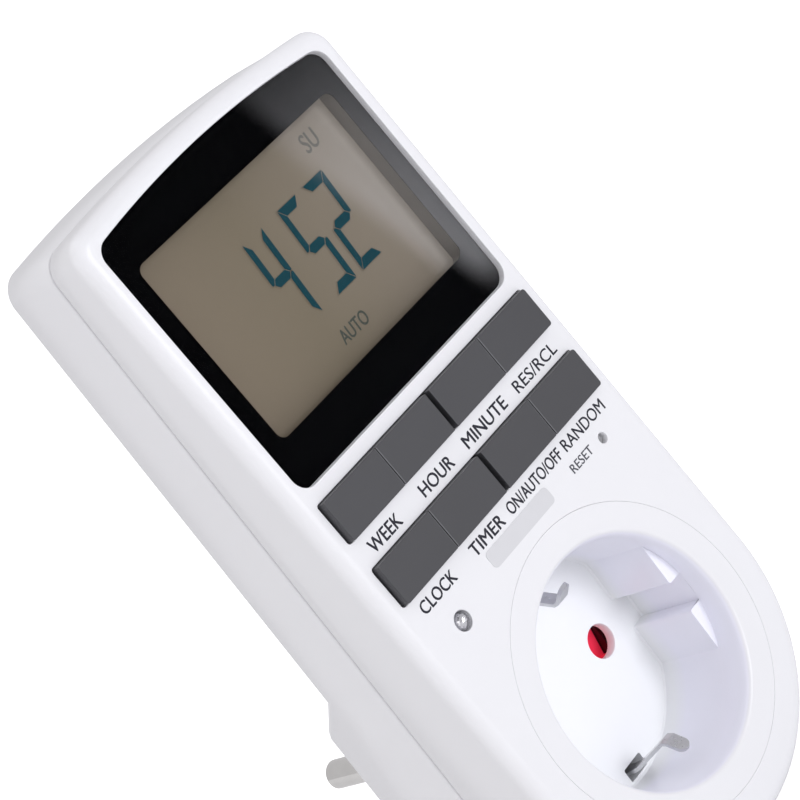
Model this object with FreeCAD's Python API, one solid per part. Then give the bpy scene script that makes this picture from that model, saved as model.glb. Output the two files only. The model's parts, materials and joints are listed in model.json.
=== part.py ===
import FreeCAD, Part
import math
import os

os.makedirs("parts", exist_ok=True)

# Plug-in digital timer, in mm.
# The frame's origin is the centre of the plug's end face, from which the two pins leave along +Y.
# X runs across the housing, Z runs up, and the front with the display looks along -Y.
# Front parts are written in face places: x across, d into the device, s up along the leaning front.

# Driving dimensions
body_width = 60.0
front_top = 101.9
top_arch_radius = 225.0
corner_radius = 4.0
socket_depth_to_plug = 50.0
front_lean_deg = 4.2
front_part_depth = 15.0
upper_back_depth = 27.7
lower_back_depth = 33.0
back_step_top = 23.3
wall = 1.8
front_wall = 2.2
front_edge_radius = 2.5
back_edge_radius = 1.2

well_radius = 19.3
well_depth = 17.5
well_ring_radius = 23.9
guide_flat_x = 16.0
guide_groove_half = 2.6
guide_start = 4.4
pin_spacing = 19.0
pin_radius = 2.4
pin_length = 19.0
pin_hole_radius = 2.65

lens_side = 3.3
lens_bottom = 53.3
lens_top = 98.9
lens_arch_radius = 179.0
lens_corner = 2.6
lens_thickness = 1.2
lens_border = 2.5
window_bottom = 59.7
window_top = 92.1
glass_depth = 4.6

key_row_side = 3.5
key_row_bottoms = (43.9, 32.25)
key_row_height = 7.1
key_proud = 1.2
key_travel = 0.3
reset_travel = 0.3
shutter_travel = 6.3

# Named clearances
key_gap = 0.15
key_middle_gap = 0.45
seam_gap = 0.15
slide_gap = 0.1
run_gap = 0.05
seat_gap = 0.02
screw_gap = 0.02

# Values that follow from the driving dimensions
half = body_width / 2
face_y = -socket_depth_to_plug
parting_y = face_y + front_part_depth
upper_back_y = face_y + upper_back_depth
lower_back_y = face_y + lower_back_depth
well_floor_y = face_y + well_depth
floor_thickness = 1.8
floor_back_y = well_floor_y + floor_thickness
cup_end_y = floor_back_y + 3.7
plate_back_y = cup_end_y + 2.0
pin_x = pin_spacing / 2
puck_radius = 18.4
puck_flat_x = 15.6
puck_wall = 2.4
puck_end = 4.5
lean = math.radians(front_lean_deg)
seam_drop = front_part_depth * math.tan(lean)
back_top = front_top / math.cos(lean) - seam_drop
inner_half = half - wall
lens_half = half - lens_side
window_half = lens_half - lens_border
key_row_half = half - key_row_side
board_front = 8.2
board_thickness = 1.2
board_back = board_front + board_thickness
power_front_y = upper_back_y - 5.0
power_back_y = power_front_y + 1.6

Y_AXIS = FreeCAD.Vector(0, 1, 0)
X_AXIS = FreeCAD.Vector(1, 0, 0)
Z_AXIS = FreeCAD.Vector(0, 0, 1)


# Building blocks

def vec(x, y, z):
    return FreeCAD.Vector(x, y, z)


def box(x0, x1, y0, y1, z0, z1):
    return Part.makeBox(x1 - x0, y1 - y0, z1 - z0, vec(x0, y0, z0))


def rod(radius, y0, y1, x=0.0, z=0.0):
    return Part.makeCylinder(radius, y1 - y0, vec(x, y0, z), Y_AXIS)


def ring(outer, inner, y0, y1, x=0.0, z=0.0):
    return rod(outer, y0, y1, x, z).cut(rod(inner, y0 - 1, y1 + 1, x, z))


def revolve_y(points, x=0.0, z=0.0):
    # points are (radius, y) pairs of a closed profile, turned about a line along Y
    corners = [vec(x + r, y, z) for r, y in points]
    wire = Part.makePolygon(corners + [corners[0]])
    return Part.Face(wire).revolve(vec(x, 0, z), Y_AXIS, 360)


def facet_turn(points, x=0.0, z=0.0, sides=12):
    # a small turned piece with flats round it; points are its outer (radius, y) pairs in order
    rings = []
    for radius, y in points:
        turns = [2 * math.pi * (k + 0.5) / sides for k in range(sides)]
        rings.append([vec(x + radius * math.cos(t), y, z + radius * math.sin(t)) for t in turns])
    faces = [Part.Face(Part.makePolygon(end + [end[0]])) for end in (rings[0], rings[-1])]
    for near, far in zip(rings, rings[1:]):
        for k in range(sides):
            n = (k + 1) % sides
            faces.append(Part.Face(Part.makePolygon([near[k], near[n], far[n], far[k], near[k]])))
    solid = Part.makeSolid(Part.makeShell(faces))
    if solid.Volume < 0:
        solid.reverse()
    return solid


def facet_rod(radius, y0, y1, x=0.0, z=0.0, sides=8):
    return facet_turn([(radius, y0), (radius, y1)], x, z, sides)


def facet_hole(radius, y0, y1, x=0.0, z=0.0, sides=8):
    # a cutter that clears a round piece of this radius
    return facet_rod(radius / math.cos(math.pi / sides), y0, y1, x, z, sides)


def prism_yz(points, x0, x1):
    # points are (y, z) pairs of a closed profile
    corners = [vec(x0, y, z) for y, z in points]
    face = Part.Face(Part.makePolygon(corners + [corners[0]]))
    return face.extrude(vec(x1 - x0, 0, 0))


def round_edges(shape, radius, wanted):
    edges = [e for e in shape.Edges if wanted(e)]
    return shape.makeFillet(radius, edges) if edges else shape


def along_y(edge):
    a = edge.Vertexes[0].Point
    b = edge.Vertexes[-1].Point
    return abs(a.x - b.x) < 1e-4 and abs(a.z - b.z) < 1e-4 and abs(a.y - b.y) > 1e-4


def soft_box(x0, x1, y0, y1, z0, z1, radius):
    return round_edges(box(x0, x1, y0, y1, z0, z1), radius, along_y)


def lay(shape):
    # carries a shape from face places to its place on the leaning front
    placed = shape.copy()
    placed.rotate(vec(0, 0, 0), X_AXIS, -front_lean_deg)
    placed.translate(vec(0, face_y, 0))
    return placed


def before_front(depth):
    # everything in front of a plane at this depth under the front face
    return lay(box(-80, 80, -40, depth, -90, 170))


def behind_front(depth):
    return lay(box(-80, 80, depth, 90, -90, 170))


def arched_outline(width_half, bottom_z, top_z, arch_radius, y0, y1, corner, round_bottom):
    # a panel with an arched top and a half round or straight bottom
    side_top = top_z - (arch_radius - math.sqrt(arch_radius ** 2 - width_half ** 2))
    left_top = vec(-width_half, y0, side_top)
    right_top = vec(width_half, y0, side_top)
    left_foot = vec(-width_half, y0, bottom_z)
    right_foot = vec(width_half, y0, bottom_z)
    if round_bottom:
        foot = Part.Arc(right_foot, vec(0, y0, bottom_z - width_half), left_foot).toShape()
    else:
        foot = Part.makeLine(right_foot, left_foot)
    top = Part.Arc(left_top, vec(0, y0, top_z), right_top).toShape()
    left = Part.makeLine(left_foot, left_top)
    right = Part.makeLine(right_top, right_foot)
    solid = Part.Face(Part.Wire([foot, left, top, right])).extrude(vec(0, y1 - y0, 0))

    def corner_edge(edge):
        at_top = abs(edge.Vertexes[0].Point.z - side_top) < 1e-3
        at_foot = not round_bottom and abs(edge.Vertexes[0].Point.z - bottom_z) < 1e-3
        return along_y(edge) and (at_top or at_foot)

    return round_edges(solid, corner, corner_edge)


def housing(inset, bottom_z, top_z, y0, y1):
    corner = max(corner_radius - inset, 1.0)
    arch = top_arch_radius - inset
    return arched_outline(half - inset, bottom_z, top_z - inset, arch, y0, y1, corner, True)


def front_outline(inset, d0, d1):
    # in face places: the front shell is drawn square to the leaning front
    return housing(inset, 0, front_top, d0, d1)


def back_outline(inset, y0, y1):
    # the rear shell is drawn square to the wall and meets the front shell on the seam
    return housing(inset, -seam_drop, back_top, y0, y1)


def lens_outline(grow, y0, y1):
    top = lens_top + grow
    bottom = lens_bottom - grow
    arch = lens_arch_radius + grow
    return arched_outline(lens_half + grow, bottom, top, arch, y0, y1, lens_corner + grow, False)


def band(path, thickness, x0, x1):
    # a flat strip: its middle line of (y, z) points is thickened both ways and drawn out along X
    ways = []
    for (y0, z0), (y1, z1) in zip(path, path[1:]):
        length = math.hypot(y1 - y0, z1 - z0)
        ways.append(((y1 - y0) / length, (z1 - z0) / length))
    left = []
    right = []
    for k, (y, z) in enumerate(path):
        before = ways[max(k - 1, 0)]
        after = ways[min(k, len(ways) - 1)]
        dy = before[0] + after[0]
        dz = before[1] + after[1]
        size = math.hypot(dy, dz)
        reach = thickness / size
        left.append((y - dz * reach / size, z + dy * reach / size))
        right.append((y + dz * reach / size, z - dy * reach / size))
    return prism_yz(left + right[::-1], x0, x1)


def lead(points, radius, sides=6):
    # a wire as a bar with flats and mitred bends
    path = Part.makePolygon([vec(*p) for p in points])
    first = vec(*points[1]) - vec(*points[0])
    first.normalize()
    side = first.cross(X_AXIS)
    side.normalize()
    up = side.cross(first)
    corners = []
    for k in range(sides + 1):
        turn = 2 * math.pi * k / sides
        offset = side * (radius * math.cos(turn)) + up * (radius * math.sin(turn))
        corners.append(vec(*points[0]) + offset)
    return path.makePipeShell([Part.makePolygon(corners)], True, False, 1)


def pan_screw(head_radius, head_height, shank_radius, shank_length, sides):
    # seat of the head at y = 0, head towards -Y, shank towards +Y
    profile = [
        (head_radius * 0.75, -head_height),
        (head_radius, -head_height * 0.5),
        (head_radius, 0),
        (shank_radius, 0),
        (shank_radius, shank_length),
    ]
    return facet_turn(profile, sides=sides)


def turned(shape):
    # the same piece pointing the other way along Y
    other = shape.copy()
    other.rotate(vec(0, 0, 0), Z_AXIS, 180)
    return other


def moved(shape, x, y, z):
    other = shape.copy()
    other.translate(vec(x, y, z))
    return other


def save(name, shape):
    shape.exportStep("parts/" + name + ".step")


def save_group(name, shapes):
    Part.makeCompound(shapes).exportStep("parts/" + name + ".step")


# Places shared by several pieces
boss_top = (0.0, back_top - 4.6)
boss_side = half - 6.2
boss_sides = [(-boss_side, 18.6), (boss_side, 18.6)]
housing_bosses = [boss_top] + boss_sides
boss_meet_y = -33.0
upper_boss = inner_half - 3.7
lower_boss = inner_half - 2.8
board_bosses = [(-upper_boss, 53.9), (upper_boss, 53.9), (-lower_boss, 28.9), (lower_boss, 28.9)]
post_side = inner_half - 5.7
power_posts = [(-post_side, 27.6), (post_side, 27.6), (-post_side, 62.0), (post_side, 62.0)]
led_place = (8.0 - inner_half, 24.9)
reset_place = (inner_half - 7.7, 26.6)
row_middles = [b + key_row_height / 2 for b in key_row_bottoms]


# Keys: four to a row, in pairs with a wider gap between the pairs
pair_width = key_row_half - key_middle_gap - 2 * key_gap
key_width = (pair_width - key_gap) / 2
key_starts = [
    -key_row_half + 2 * key_gap,
    -key_row_half + 3 * key_gap + key_width,
    key_middle_gap,
    key_middle_gap + key_gap + key_width,
]
key_names = [
    ["week", "hour", "minute", "clear"],
    ["clock", "schedule", "mode", "random"],
]
switch_half = 3.0
switch_height = 3.5
plunger_radius = 1.7
plunger_top = board_front - 4.5


def key_cap(x0, x1, s0, s1):
    cap = box(x0, x1, -key_proud, front_wall + 1.0, s0 + key_gap, s1 - key_gap)

    def front_edge(edge):
        return all(abs(v.Point.y + key_proud) < 1e-4 for v in edge.Vertexes)

    cap = cap.makeChamfer(0.3, [e for e in cap.Edges if front_edge(e)])
    rim_front = front_wall + run_gap
    rim = box(x0, x1, rim_front, rim_front + 0.9, s0 - 0.8, s1 + 0.8)
    middle_x = (x0 + x1) / 2
    middle_s = (s0 + s1) / 2
    stem_end = plunger_top - seat_gap
    stem = box(middle_x - 1.3, middle_x + 1.3, front_wall, stem_end, middle_s - 1.3, middle_s + 1.3)
    return cap.fuse(rim).fuse(stem).removeSplitter()


def switch_body(x, s, reach):
    low = board_front - switch_height
    body = box(x - reach, x + reach, low, board_front, s - reach, s + reach)
    return body.cut(facet_rod(plunger_radius + run_gap, low - 1, board_front - 1.0, x, s))


def plunger(x, s):
    return facet_rod(plunger_radius, plunger_top, board_front - 1.0 - key_travel - 0.15, x, s)


switches = []
for row in range(2):
    for column in range(4):
        name = key_names[row][column]
        x0 = key_starts[column]
        x1 = x0 + key_width
        s0 = key_row_bottoms[row]
        s1 = s0 + key_row_height
        save("key_" + name, lay(key_cap(x0, x1, s0, s1)))
        save("plunger_" + name, lay(plunger((x0 + x1) / 2, row_middles[row])))
        switches.append(lay(switch_body((x0 + x1) / 2, row_middles[row], switch_half)))


# Reset button: a thin pin in the reset hole, standing on a broad foot in its own switch
reset_x, reset_s = reset_place
reset_foot = board_front - 1.0 - reset_travel - 0.15
reset_profile = [(0.7, 0.9), (0.7, 4.4), (plunger_radius, 4.4), (plunger_radius, reset_foot)]
save("reset_button", lay(facet_turn(reset_profile, reset_x, reset_s, 8)))
switches.append(lay(switch_body(reset_x, reset_s, 2.3)))
save_group("tact_switches", switches)


# Front shell: hollow, with leaning front, lens bed, window collar, key slots and bosses
def on_plane_y(y):
    return lambda edge: all(abs(v.Point.y - y) < 1e-4 for v in edge.Vertexes)


def chamfer_edges(shape, size, wanted):
    return shape.makeChamfer(size, [e for e in shape.Edges if wanted(e)])


behind_seam = box(-half - 5, half + 5, parting_y, parting_y + 60, -half - 10, front_top + 10)
deep = front_part_depth + 10
rim_cut = front_edge_radius * 0.7
rim_trim = rim_cut * 0.3675
outer = chamfer_edges(front_outline(0, 0, deep), rim_cut, on_plane_y(0))
outer = chamfer_edges(outer, rim_trim, on_plane_y(0))
outer = chamfer_edges(outer, rim_trim, on_plane_y(rim_cut))
front = lay(outer.cut(front_outline(wall, front_wall, deep + 1))).cut(behind_seam)
lip_low = 2.0
lip_high = 90.0
for side in (-1, 1):
    low, high = sorted((side * inner_half, side * (half - wall / 2 - 0.05)))
    front = front.fuse(box(low, high, parting_y - 2, parting_y + 1.0, lip_low, lip_high))
front = front.cut(lay(lens_outline(seam_gap, -1, lens_thickness)))
collar_half = window_half + 0.9
collar = soft_box(-collar_half, collar_half, 1.5, glass_depth, window_bottom - 0.9, window_top + 0.9, 1.6)
window = soft_box(-window_half, window_half, -1, glass_depth + 1, window_bottom, window_top, 1.0)
front = front.fuse(lay(collar)).cut(lay(window))
for s0 in key_row_bottoms:
    slot = box(-key_row_half, key_row_half, -1, front_wall + 1, s0, s0 + key_row_height)
    front = front.cut(lay(slot))
led_x, led_s = led_place
front = front.fuse(lay(facet_rod(2.9, 1.5, 3.6, led_x, led_s))).cut(lay(rod(1.6, -1, 5, led_x, led_s)))
front = front.fuse(lay(facet_rod(2.0, 1.5, 3.4, reset_x, reset_s)))
front = front.cut(lay(facet_hole(0.8, -1, 5, reset_x, reset_s)))
for x, z in housing_bosses:
    post = facet_rod(2.8, face_y - 2, boss_meet_y, x, z).common(lay(front_outline(0.9, 1.7, deep)))
    front = front.fuse(post).cut(facet_hole(1.5 + screw_gap, boss_meet_y - 9.5, boss_meet_y + 1, x, z))
for x, s in board_bosses:
    front = front.fuse(lay(facet_rod(2.0, 1.7, board_front, x, s).common(front_outline(0.9, 0, deep))))
    front = front.cut(lay(facet_hole(1.0 + screw_gap, 3.2, board_front + 1, x, s)))
front = front.cut(lay(rod(well_ring_radius + seam_gap, -8, 8)))
front = front.removeSplitter()


# Socket cup: well with guide blocks, ring level with the leaning front, and shutter chamber
lug_front = front_wall + seat_gap
lug_back = lug_front + 1.6
lug_reach = inner_half - 2.3
cup = lay(rod(well_ring_radius, 0, front_wall))
tube = facet_rod(well_radius + wall, face_y - 4, cup_end_y, sides=16)
cup = cup.fuse(tube.cut(before_front(1.0)))
lug = box(well_radius + 1, lug_reach, lug_front, lug_back, -3.0, 3.0)
for turn in (35, 145, 215, 325):
    placed = lug.copy()
    placed.rotate(vec(0, 0, 0), Y_AXIS, turn)
    cup = cup.fuse(lay(placed))
mouth_y = face_y + 2.6
mouth_end = face_y - 4.0
mouth = [
    (0, mouth_end),
    (well_radius + 2.2, mouth_end),
    (well_radius, mouth_y),
    (well_radius, well_floor_y),
    (0, well_floor_y),
]
well = revolve_y(mouth)
block = rod(well_radius, face_y + guide_start, well_floor_y)
block = block.cut(box(-guide_flat_x, guide_flat_x, face_y, well_floor_y + 1, -25, 25))
groove_x = well_radius - 0.5
block = block.cut(box(-groove_x, groove_x, face_y, well_floor_y + 1, -guide_groove_half, guide_groove_half))
cup = cup.cut(well.cut(block))
chamber_half = pin_x + pin_radius + 1.6
chamber_bottom = -10.8
chamber_top = 12.8
chamber = box(-chamber_half, chamber_half, floor_back_y, cup_end_y + 1, chamber_bottom, chamber_top)
cup = cup.cut(chamber)
for side in (-1, 1):
    cup = cup.cut(rod(pin_hole_radius, well_floor_y - 1, floor_back_y + 1, side * pin_x, 0))
    low, high = sorted((side * 15.9, side * 18.2))
    cup = cup.cut(box(-2.2, 2.2, well_floor_y - 1, cup_end_y + 1, low, high))
save("socket_cup", cup.removeSplitter())

save("front_shell", front.removeSplitter())


# Shutter: a plate whose two slopes turn the push of the pins into a slide upwards
plate_front_y = floor_back_y + 1.2
plate_back = plate_front_y + 2.3
shutter_half = chamber_half - slide_gap
plate_low = chamber_bottom + slide_gap
plate_high = chamber_top - shutter_travel - slide_gap
pass_radius = pin_radius + 0.45
slope_low = -shutter_travel + pass_radius - 0.2
shutter = box(-shutter_half, shutter_half, plate_front_y, plate_back, plate_low, plate_high)
slope = [
    (plate_front_y - 1, slope_low),
    (plate_back - 0.35, slope_low),
    (plate_front_y + 0.3, 3.4),
    (plate_front_y - 1, 3.4),
]
for side in (-1, 1):
    x = side * pin_x
    shutter = shutter.cut(prism_yz(slope, x - 2.9, x + 2.9))
    shutter = shutter.cut(rod(pass_radius, plate_front_y - 1, plate_back + 1, x, -shutter_travel))
spring_seat = -5.2
shutter = shutter.cut(box(-2.0, 2.0, plate_front_y - 1, plate_back + 1, spring_seat, plate_high + 1))
save("shutter", shutter.removeSplitter())

# Shutter spring: an open coil standing in the plate's notch, up to the chamber's top
spring_radius = 1.4
wire_radius = 0.2
spring_turns = 5
spring_low = spring_seat + wire_radius
spring_high = chamber_top - wire_radius
spring_steps = 8
coil_path = []
for k in range(spring_turns * spring_steps + 1):
    turn = 2 * math.pi * k / spring_steps
    rise = (spring_high - spring_low) * k / (spring_turns * spring_steps)
    coil_path.append((spring_radius * math.cos(turn), spring_radius * math.sin(turn), rise))
coil = lead(coil_path, wire_radius, 4)
spring_y = (floor_back_y + cup_end_y) / 2
save("shutter_spring", moved(coil, 0, spring_y, spring_low))


# Contact carrier: plate that closes the chamber, with a tower round each contact
tower_half = 4.3
contact_half = 3.4
tab_half = 1.0
pin_shank_end = -9.0
tower_end_y = pin_shank_end - 4.5
carrier_reach = 20.9
carrier = facet_rod(carrier_reach, cup_end_y, plate_back_y)
for side in (-1, 1):
    x = side * pin_x
    tower = box(x - tower_half, x + tower_half, plate_back_y - 0.5, tower_end_y, -tower_half, tower_half)
    carrier = carrier.fuse(tower)
web = box(-pin_x, pin_x, plate_back_y + 3.5, plate_back_y + 6.5, -0.9, 0.9)
carrier = carrier.fuse(web.cut(facet_hole(2.2, plate_back_y, plate_back_y + 9)))
for side in (-1, 1):
    x = side * pin_x
    carrier = carrier.cut(rod(pin_hole_radius + 0.1, cup_end_y - 1, plate_back_y, x, 0))
    room = contact_half + seat_gap
    carrier = carrier.cut(box(x - room, x + room, plate_back_y, tower_end_y + 1, -room, room))
    low, high = sorted((side * 15.9, side * 18.2))
    carrier = carrier.cut(box(-2.2, 2.2, cup_end_y - 1, plate_back_y + 1, low, high))
save("contact_carrier", carrier.removeSplitter())


# Socket contacts: bored blocks split lengthwise, closed behind, with a solder tab
def contact(side, tab_end):
    x = side * pin_x
    reach = contact_half
    block = box(x - reach, x + reach, plate_back_y, tower_end_y + 0.8, -reach, reach)
    block = block.cut(rod(pin_radius + 0.06, plate_back_y - 1, tower_end_y + 0.2, x, 0))
    block = block.cut(box(x - 5, x + 5, plate_back_y - 1, tower_end_y - 2.0, -0.3, 0.3))
    return block.fuse(box(x - tab_half, x + tab_half, tower_end_y + 0.5, tab_end, -tab_half, tab_half))


save("contact_neutral", contact(1, pin_shank_end))
save("contact_live", contact(-1, pin_shank_end - 1.4))


# Plug pins: round tip, flange behind the plug's end wall and riveting shank
def plug_pin(side):
    x = side * pin_x
    pin = chamfer_edges(rod(pin_radius, 0, pin_length, x, 0), 0.8, on_plane_y(pin_length))
    pin = pin.fuse(facet_rod(pin_radius, -puck_end, 0, x, 0, 16))
    pin = pin.fuse(facet_rod(3.6, -puck_end - 1.5, -puck_end, x, 0, 12))
    return pin.fuse(facet_rod(shank_radius, pin_shank_end, -puck_end - 1.5, x, 0, 12))


shank_radius = 1.5
save("pin_live", plug_pin(-1))
save("pin_neutral", plug_pin(1))


# Earth: one bent strap carries both clips in the well, the other both strips on the plug
strap_y = plate_back_y + 0.35
clip_z = 17.1
clip_path = [
    (face_y + 2.9, 16.0),
    (face_y + 6.5, 13.3),
    (well_floor_y - 2.0, 16.7),
    (well_floor_y + 0.5, clip_z),
    (strap_y, clip_z),
]
clip_path = clip_path + [(y, -z) for y, z in reversed(clip_path)]
save("earth_clips", band(clip_path, 0.7, -1.7, 1.7))

plug_strip_z = 17.5
strip_bar_y = -14.6
strip_path = [
    (-2.4, plug_strip_z),
    (strip_bar_y, plug_strip_z),
    (strip_bar_y, -plug_strip_z),
    (-2.4, -plug_strip_z),
]
save("plug_earth_strips", band(strip_path, 0.8, -2.0, 2.0))
link_profile = [
    (1.8, strap_y + 0.35),
    (1.8, strap_y + 1.2),
    (1.2, strap_y + 1.2),
    (1.2, strip_bar_y - 1.4),
    (1.7, strip_bar_y - 1.4),
    (1.7, strip_bar_y - 0.4),
]
save("earth_link", facet_turn(link_profile))


# Rear shell: stepped back with a slope, plug puck with grooves and flats, posts and ribs
def stepped(inset, shape):
    # takes away what lies behind the upper back and behind the slope under it
    back = upper_back_y - inset
    turn_z = back_step_top - inset * (math.sqrt(2) - 1)
    reach = lower_back_y + 5
    profile = [
        (back, turn_z),
        (back, back_top + 10),
        (reach, back_top + 10),
        (reach, turn_z - (reach - back)),
    ]
    return shape.cut(prism_yz(profile, -half - 5, half + 5))


rear_outer = stepped(0, back_outline(0, parting_y + seam_gap, lower_back_y))


def back_edge(edge):
    middle = edge.valueAt((edge.FirstParameter + edge.LastParameter) / 2)
    a = edge.Vertexes[0].Point
    b = edge.Vertexes[-1].Point
    across = abs(abs(a.x - b.x) - body_width) < 1e-3 and abs(a.z - b.z) < 1e-3
    at_rim = a.y > parting_y + 1 and b.y > parting_y + 1
    return at_rim and middle.y > upper_back_y - 1e-3 and not across


rear_outer = chamfer_edges(rear_outer, back_edge_radius, back_edge)
hollow = stepped(wall, back_outline(wall, parting_y - 1, lower_back_y - wall))
rear = rear_outer.cut(hollow)
for side in (-1, 1):
    low, high = sorted((side * (inner_half - 1), side * (half - wall / 2)))
    rear = rear.cut(box(low, high, parting_y - 1, parting_y + 1.1, lip_low - 0.1, lip_high + 0.1))

puck = rod(puck_radius, lower_back_y - wall, 0)
flat = box(puck_flat_x, puck_radius + 1, lower_back_y, 1, 2.3, puck_radius)
for turn in (0, 180):
    for mirror in (False, True):
        cutter = flat.mirror(vec(0, 0, 0), Z_AXIS) if mirror else flat.copy()
        cutter.rotate(vec(0, 0, 0), Y_AXIS, turn)
        puck = puck.cut(cutter)
puck = chamfer_edges(puck, 0.7, on_plane_y(0))
rear = rear.fuse(puck)
puck_hollow = rod(puck_radius - puck_wall, lower_back_y - wall - 2, -puck_end)
hollow_half = pin_x + tower_half + 0.2
puck_hollow = puck_hollow.common(box(-hollow_half, hollow_half, lower_back_y - 9, 0, -20, 20))
rear = rear.cut(puck_hollow)
for side in (-1, 1):
    rear = rear.cut(facet_rod(pin_radius + seat_gap, -puck_end - 1, 1, side * pin_x, 0, 16))
    low, high = sorted((side * (plug_strip_z - 0.4), side * 20))
    rear = rear.cut(box(-2.6, 2.6, lower_back_y, -1.6, low, high))
    low, high = sorted((side * 14, side * (plug_strip_z + 0.4)))
    rear = rear.cut(box(-2.1, 2.1, strip_bar_y - 0.45, strip_bar_y + 0.45, low, high))
rib_end = lower_back_y - wall + 0.3
rear = rear.fuse(box(-7.0, 7.0, plate_back_y, rib_end, -19.9, -18.7))
for side in (-1, 1):
    low, high = sorted((side * 18.2, side * 19.2))
    rear = rear.fuse(box(low, high, plate_back_y, rib_end, -7.0, 7.0))
head_seat_y = boss_meet_y + 1.6
for x, z in housing_bosses:
    post = facet_rod(4.5, boss_meet_y, lower_back_y, x, z)
    post = post.common(stepped(0.6, back_outline(0.6, boss_meet_y, lower_back_y - 0.6)))
    rear = rear.fuse(post).cut(facet_hole(3.3, head_seat_y, lower_back_y + 5, x, z, 16))
    rear = rear.cut(facet_hole(1.6, boss_meet_y - 1, head_seat_y + 1, x, z))
for x, z in power_posts:
    rear = rear.fuse(facet_rod(2.3, power_back_y, upper_back_y - wall + 0.3, x, z))
    rear = rear.cut(facet_hole(1.0 + screw_gap, power_back_y - 1, upper_back_y - 0.6, x, z))
save("rear_shell", rear.removeSplitter())


# Housing screws, driven from behind into the front shell's bosses
housing_screw = turned(pan_screw(3.0, 2.2, 1.5, 8.5, 12))
save_group("housing_screws", [moved(housing_screw, x, head_seat_y, z) for x, z in housing_bosses])


# Lens and status light
lens = lens_outline(0, 0, lens_thickness)
save("display_lens", lay(chamfer_edges(lens, 0.2, on_plane_y(0))))

led_radius = 1.5
led_flange = 5.2
led_profile = []
for turn in (15, 40, 65, 90):
    angle = math.radians(turn)
    led_profile.append((led_radius * math.sin(angle), led_radius - 0.9 - led_radius * math.cos(angle)))
led_profile += [(led_radius, led_flange - 1), (1.8, led_flange - 1), (1.8, led_flange)]
led = facet_turn(led_profile, led_x, led_s, 16)
for shift in (-0.9, 0.9):
    leg_x = led_x + shift
    leg = box(leg_x - 0.25, leg_x + 0.25, led_flange - 0.3, board_front, led_s - 0.25, led_s + 0.25)
    led = led.fuse(leg)
save("status_led", lay(led))


# Display: glass cell, holder, contact strip and board
cell_half = window_half + 0.8
cell_low = window_bottom - 2.8
cell_high = window_top + 0.9
cell_back = glass_depth + 1.8
front_glass = box(-cell_half, cell_half, glass_depth, glass_depth + 0.9, cell_low, cell_high)
back_glass = box(-cell_half, cell_half, glass_depth + 0.9, cell_back, cell_low + 3.2, cell_high)
save("lcd_cell", lay(front_glass.fuse(back_glass)))
strip_low = cell_low + 0.5
strip_half = cell_half - 1.0
strip = box(-strip_half, strip_half, glass_depth + 0.9, board_front, strip_low, strip_low + 2.0)
save("contact_strip", lay(strip))
holder_half = cell_half + 1.2
holder = box(-holder_half, holder_half, glass_depth + 0.3, board_front, cell_low - 1.0, cell_high + 1.1)
holder = holder.cut(box(-cell_half - 0.05, cell_half + 0.05, 0, cell_back, cell_low - 0.05, cell_high + 0.05))
opening_half = cell_half - 2.0
holder = holder.cut(box(-opening_half, opening_half, 0, board_front + 1, cell_low + 4.5, cell_high - 2.0))
strip_room = strip_half + 0.1
holder = holder.cut(box(-strip_room, strip_room, 0, board_front + 1, strip_low - 0.1, strip_low + 2.1))
save("lcd_holder", lay(holder))

board_half = inner_half - 1.2
board_top = cell_high + 1.5
board_middle = 32.2
board_foot = 21.6
board = box(-board_half, board_half, board_front, board_back, board_foot, board_top)
board = board.cut(box(-13, 13, 0, 20, board_foot - 5, board_middle))
for side in (-1, 1):
    low, high = sorted((side * 20, side * 30))
    board = board.cut(box(low, high, 0, 20, 10, 22.4))
for x, s in board_bosses:
    board = board.cut(facet_hole(1.2, 0, 20, x, s))
save("display_board", lay(board))
board_screw = turned(pan_screw(1.9, 1.3, 1.0, 4.6, 8))
save_group(
    "display_board_screws", [lay(moved(board_screw, x, board_back, s)) for x, s in board_bosses]
)
blob_profile = [(5.0, board_back), (4.0, board_back + 0.9), (2.0, board_back + 1.3)]
save("chip_blob", lay(facet_turn(blob_profile, 12, 76)))
battery = facet_rod(5.8, board_back + 0.4, board_back + 5.3, -13, 80, 24)
for s in (76.5, 83.5):
    battery = battery.fuse(box(-13.9, -12.1, board_back, board_back + 0.5, s - 1.2, s + 1.2))
save("backup_battery", lay(battery))


# Power board and what stands on it
def on_board(x, z):
    return vec(x, power_front_y, z)


power_half = inner_half - 2.2
power_board = box(-power_half, power_half, power_front_y, power_back_y, 23.6, 66.0)
for x, z in power_posts:
    power_board = power_board.cut(facet_hole(1.2, power_front_y - 1, power_back_y + 1, x, z))
save("power_board", power_board)
power_screw = pan_screw(1.9, 1.3, 1.0, 3.6, 8)
save_group("power_board_screws", [moved(power_screw, x, power_front_y, z) for x, z in power_posts])

relay = box(-10.2, 10.2, power_front_y - 15.2, power_front_y, 23.8, 30.8)
relay = relay.cut(box(-10.6, -9.9, power_front_y - 9, power_front_y - 8.6, 20, 35))
save("relay", relay)
save("film_capacitor", box(-13.0, 5.0, power_front_y - 7.0, power_front_y, 35.0, 47.0))

can_y = power_front_y - 3.2
can_profile = [(3.1, 0), (3.1, 1.5), (2.8, 1.9), (3.1, 2.3), (3.1, 11.0)]
can = facet_turn(can_profile, sides=16)
can.rotate(vec(0, 0, 0), Z_AXIS, -90)
can = moved(can, -10, can_y, 54)
for shift in (-1.2, 1.2):
    leg = box(-11.2, -9.8, can_y - 0.25, can_y + 0.25, 54 + shift - 0.25, 54 + shift + 0.25)
    foot = box(-11.2, -10.7, can_y - 0.25, power_front_y, 54 + shift - 0.25, 54 + shift + 0.25)
    can = can.fuse(leg).fuse(foot)
save("electrolytic_capacitor", can)

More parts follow.
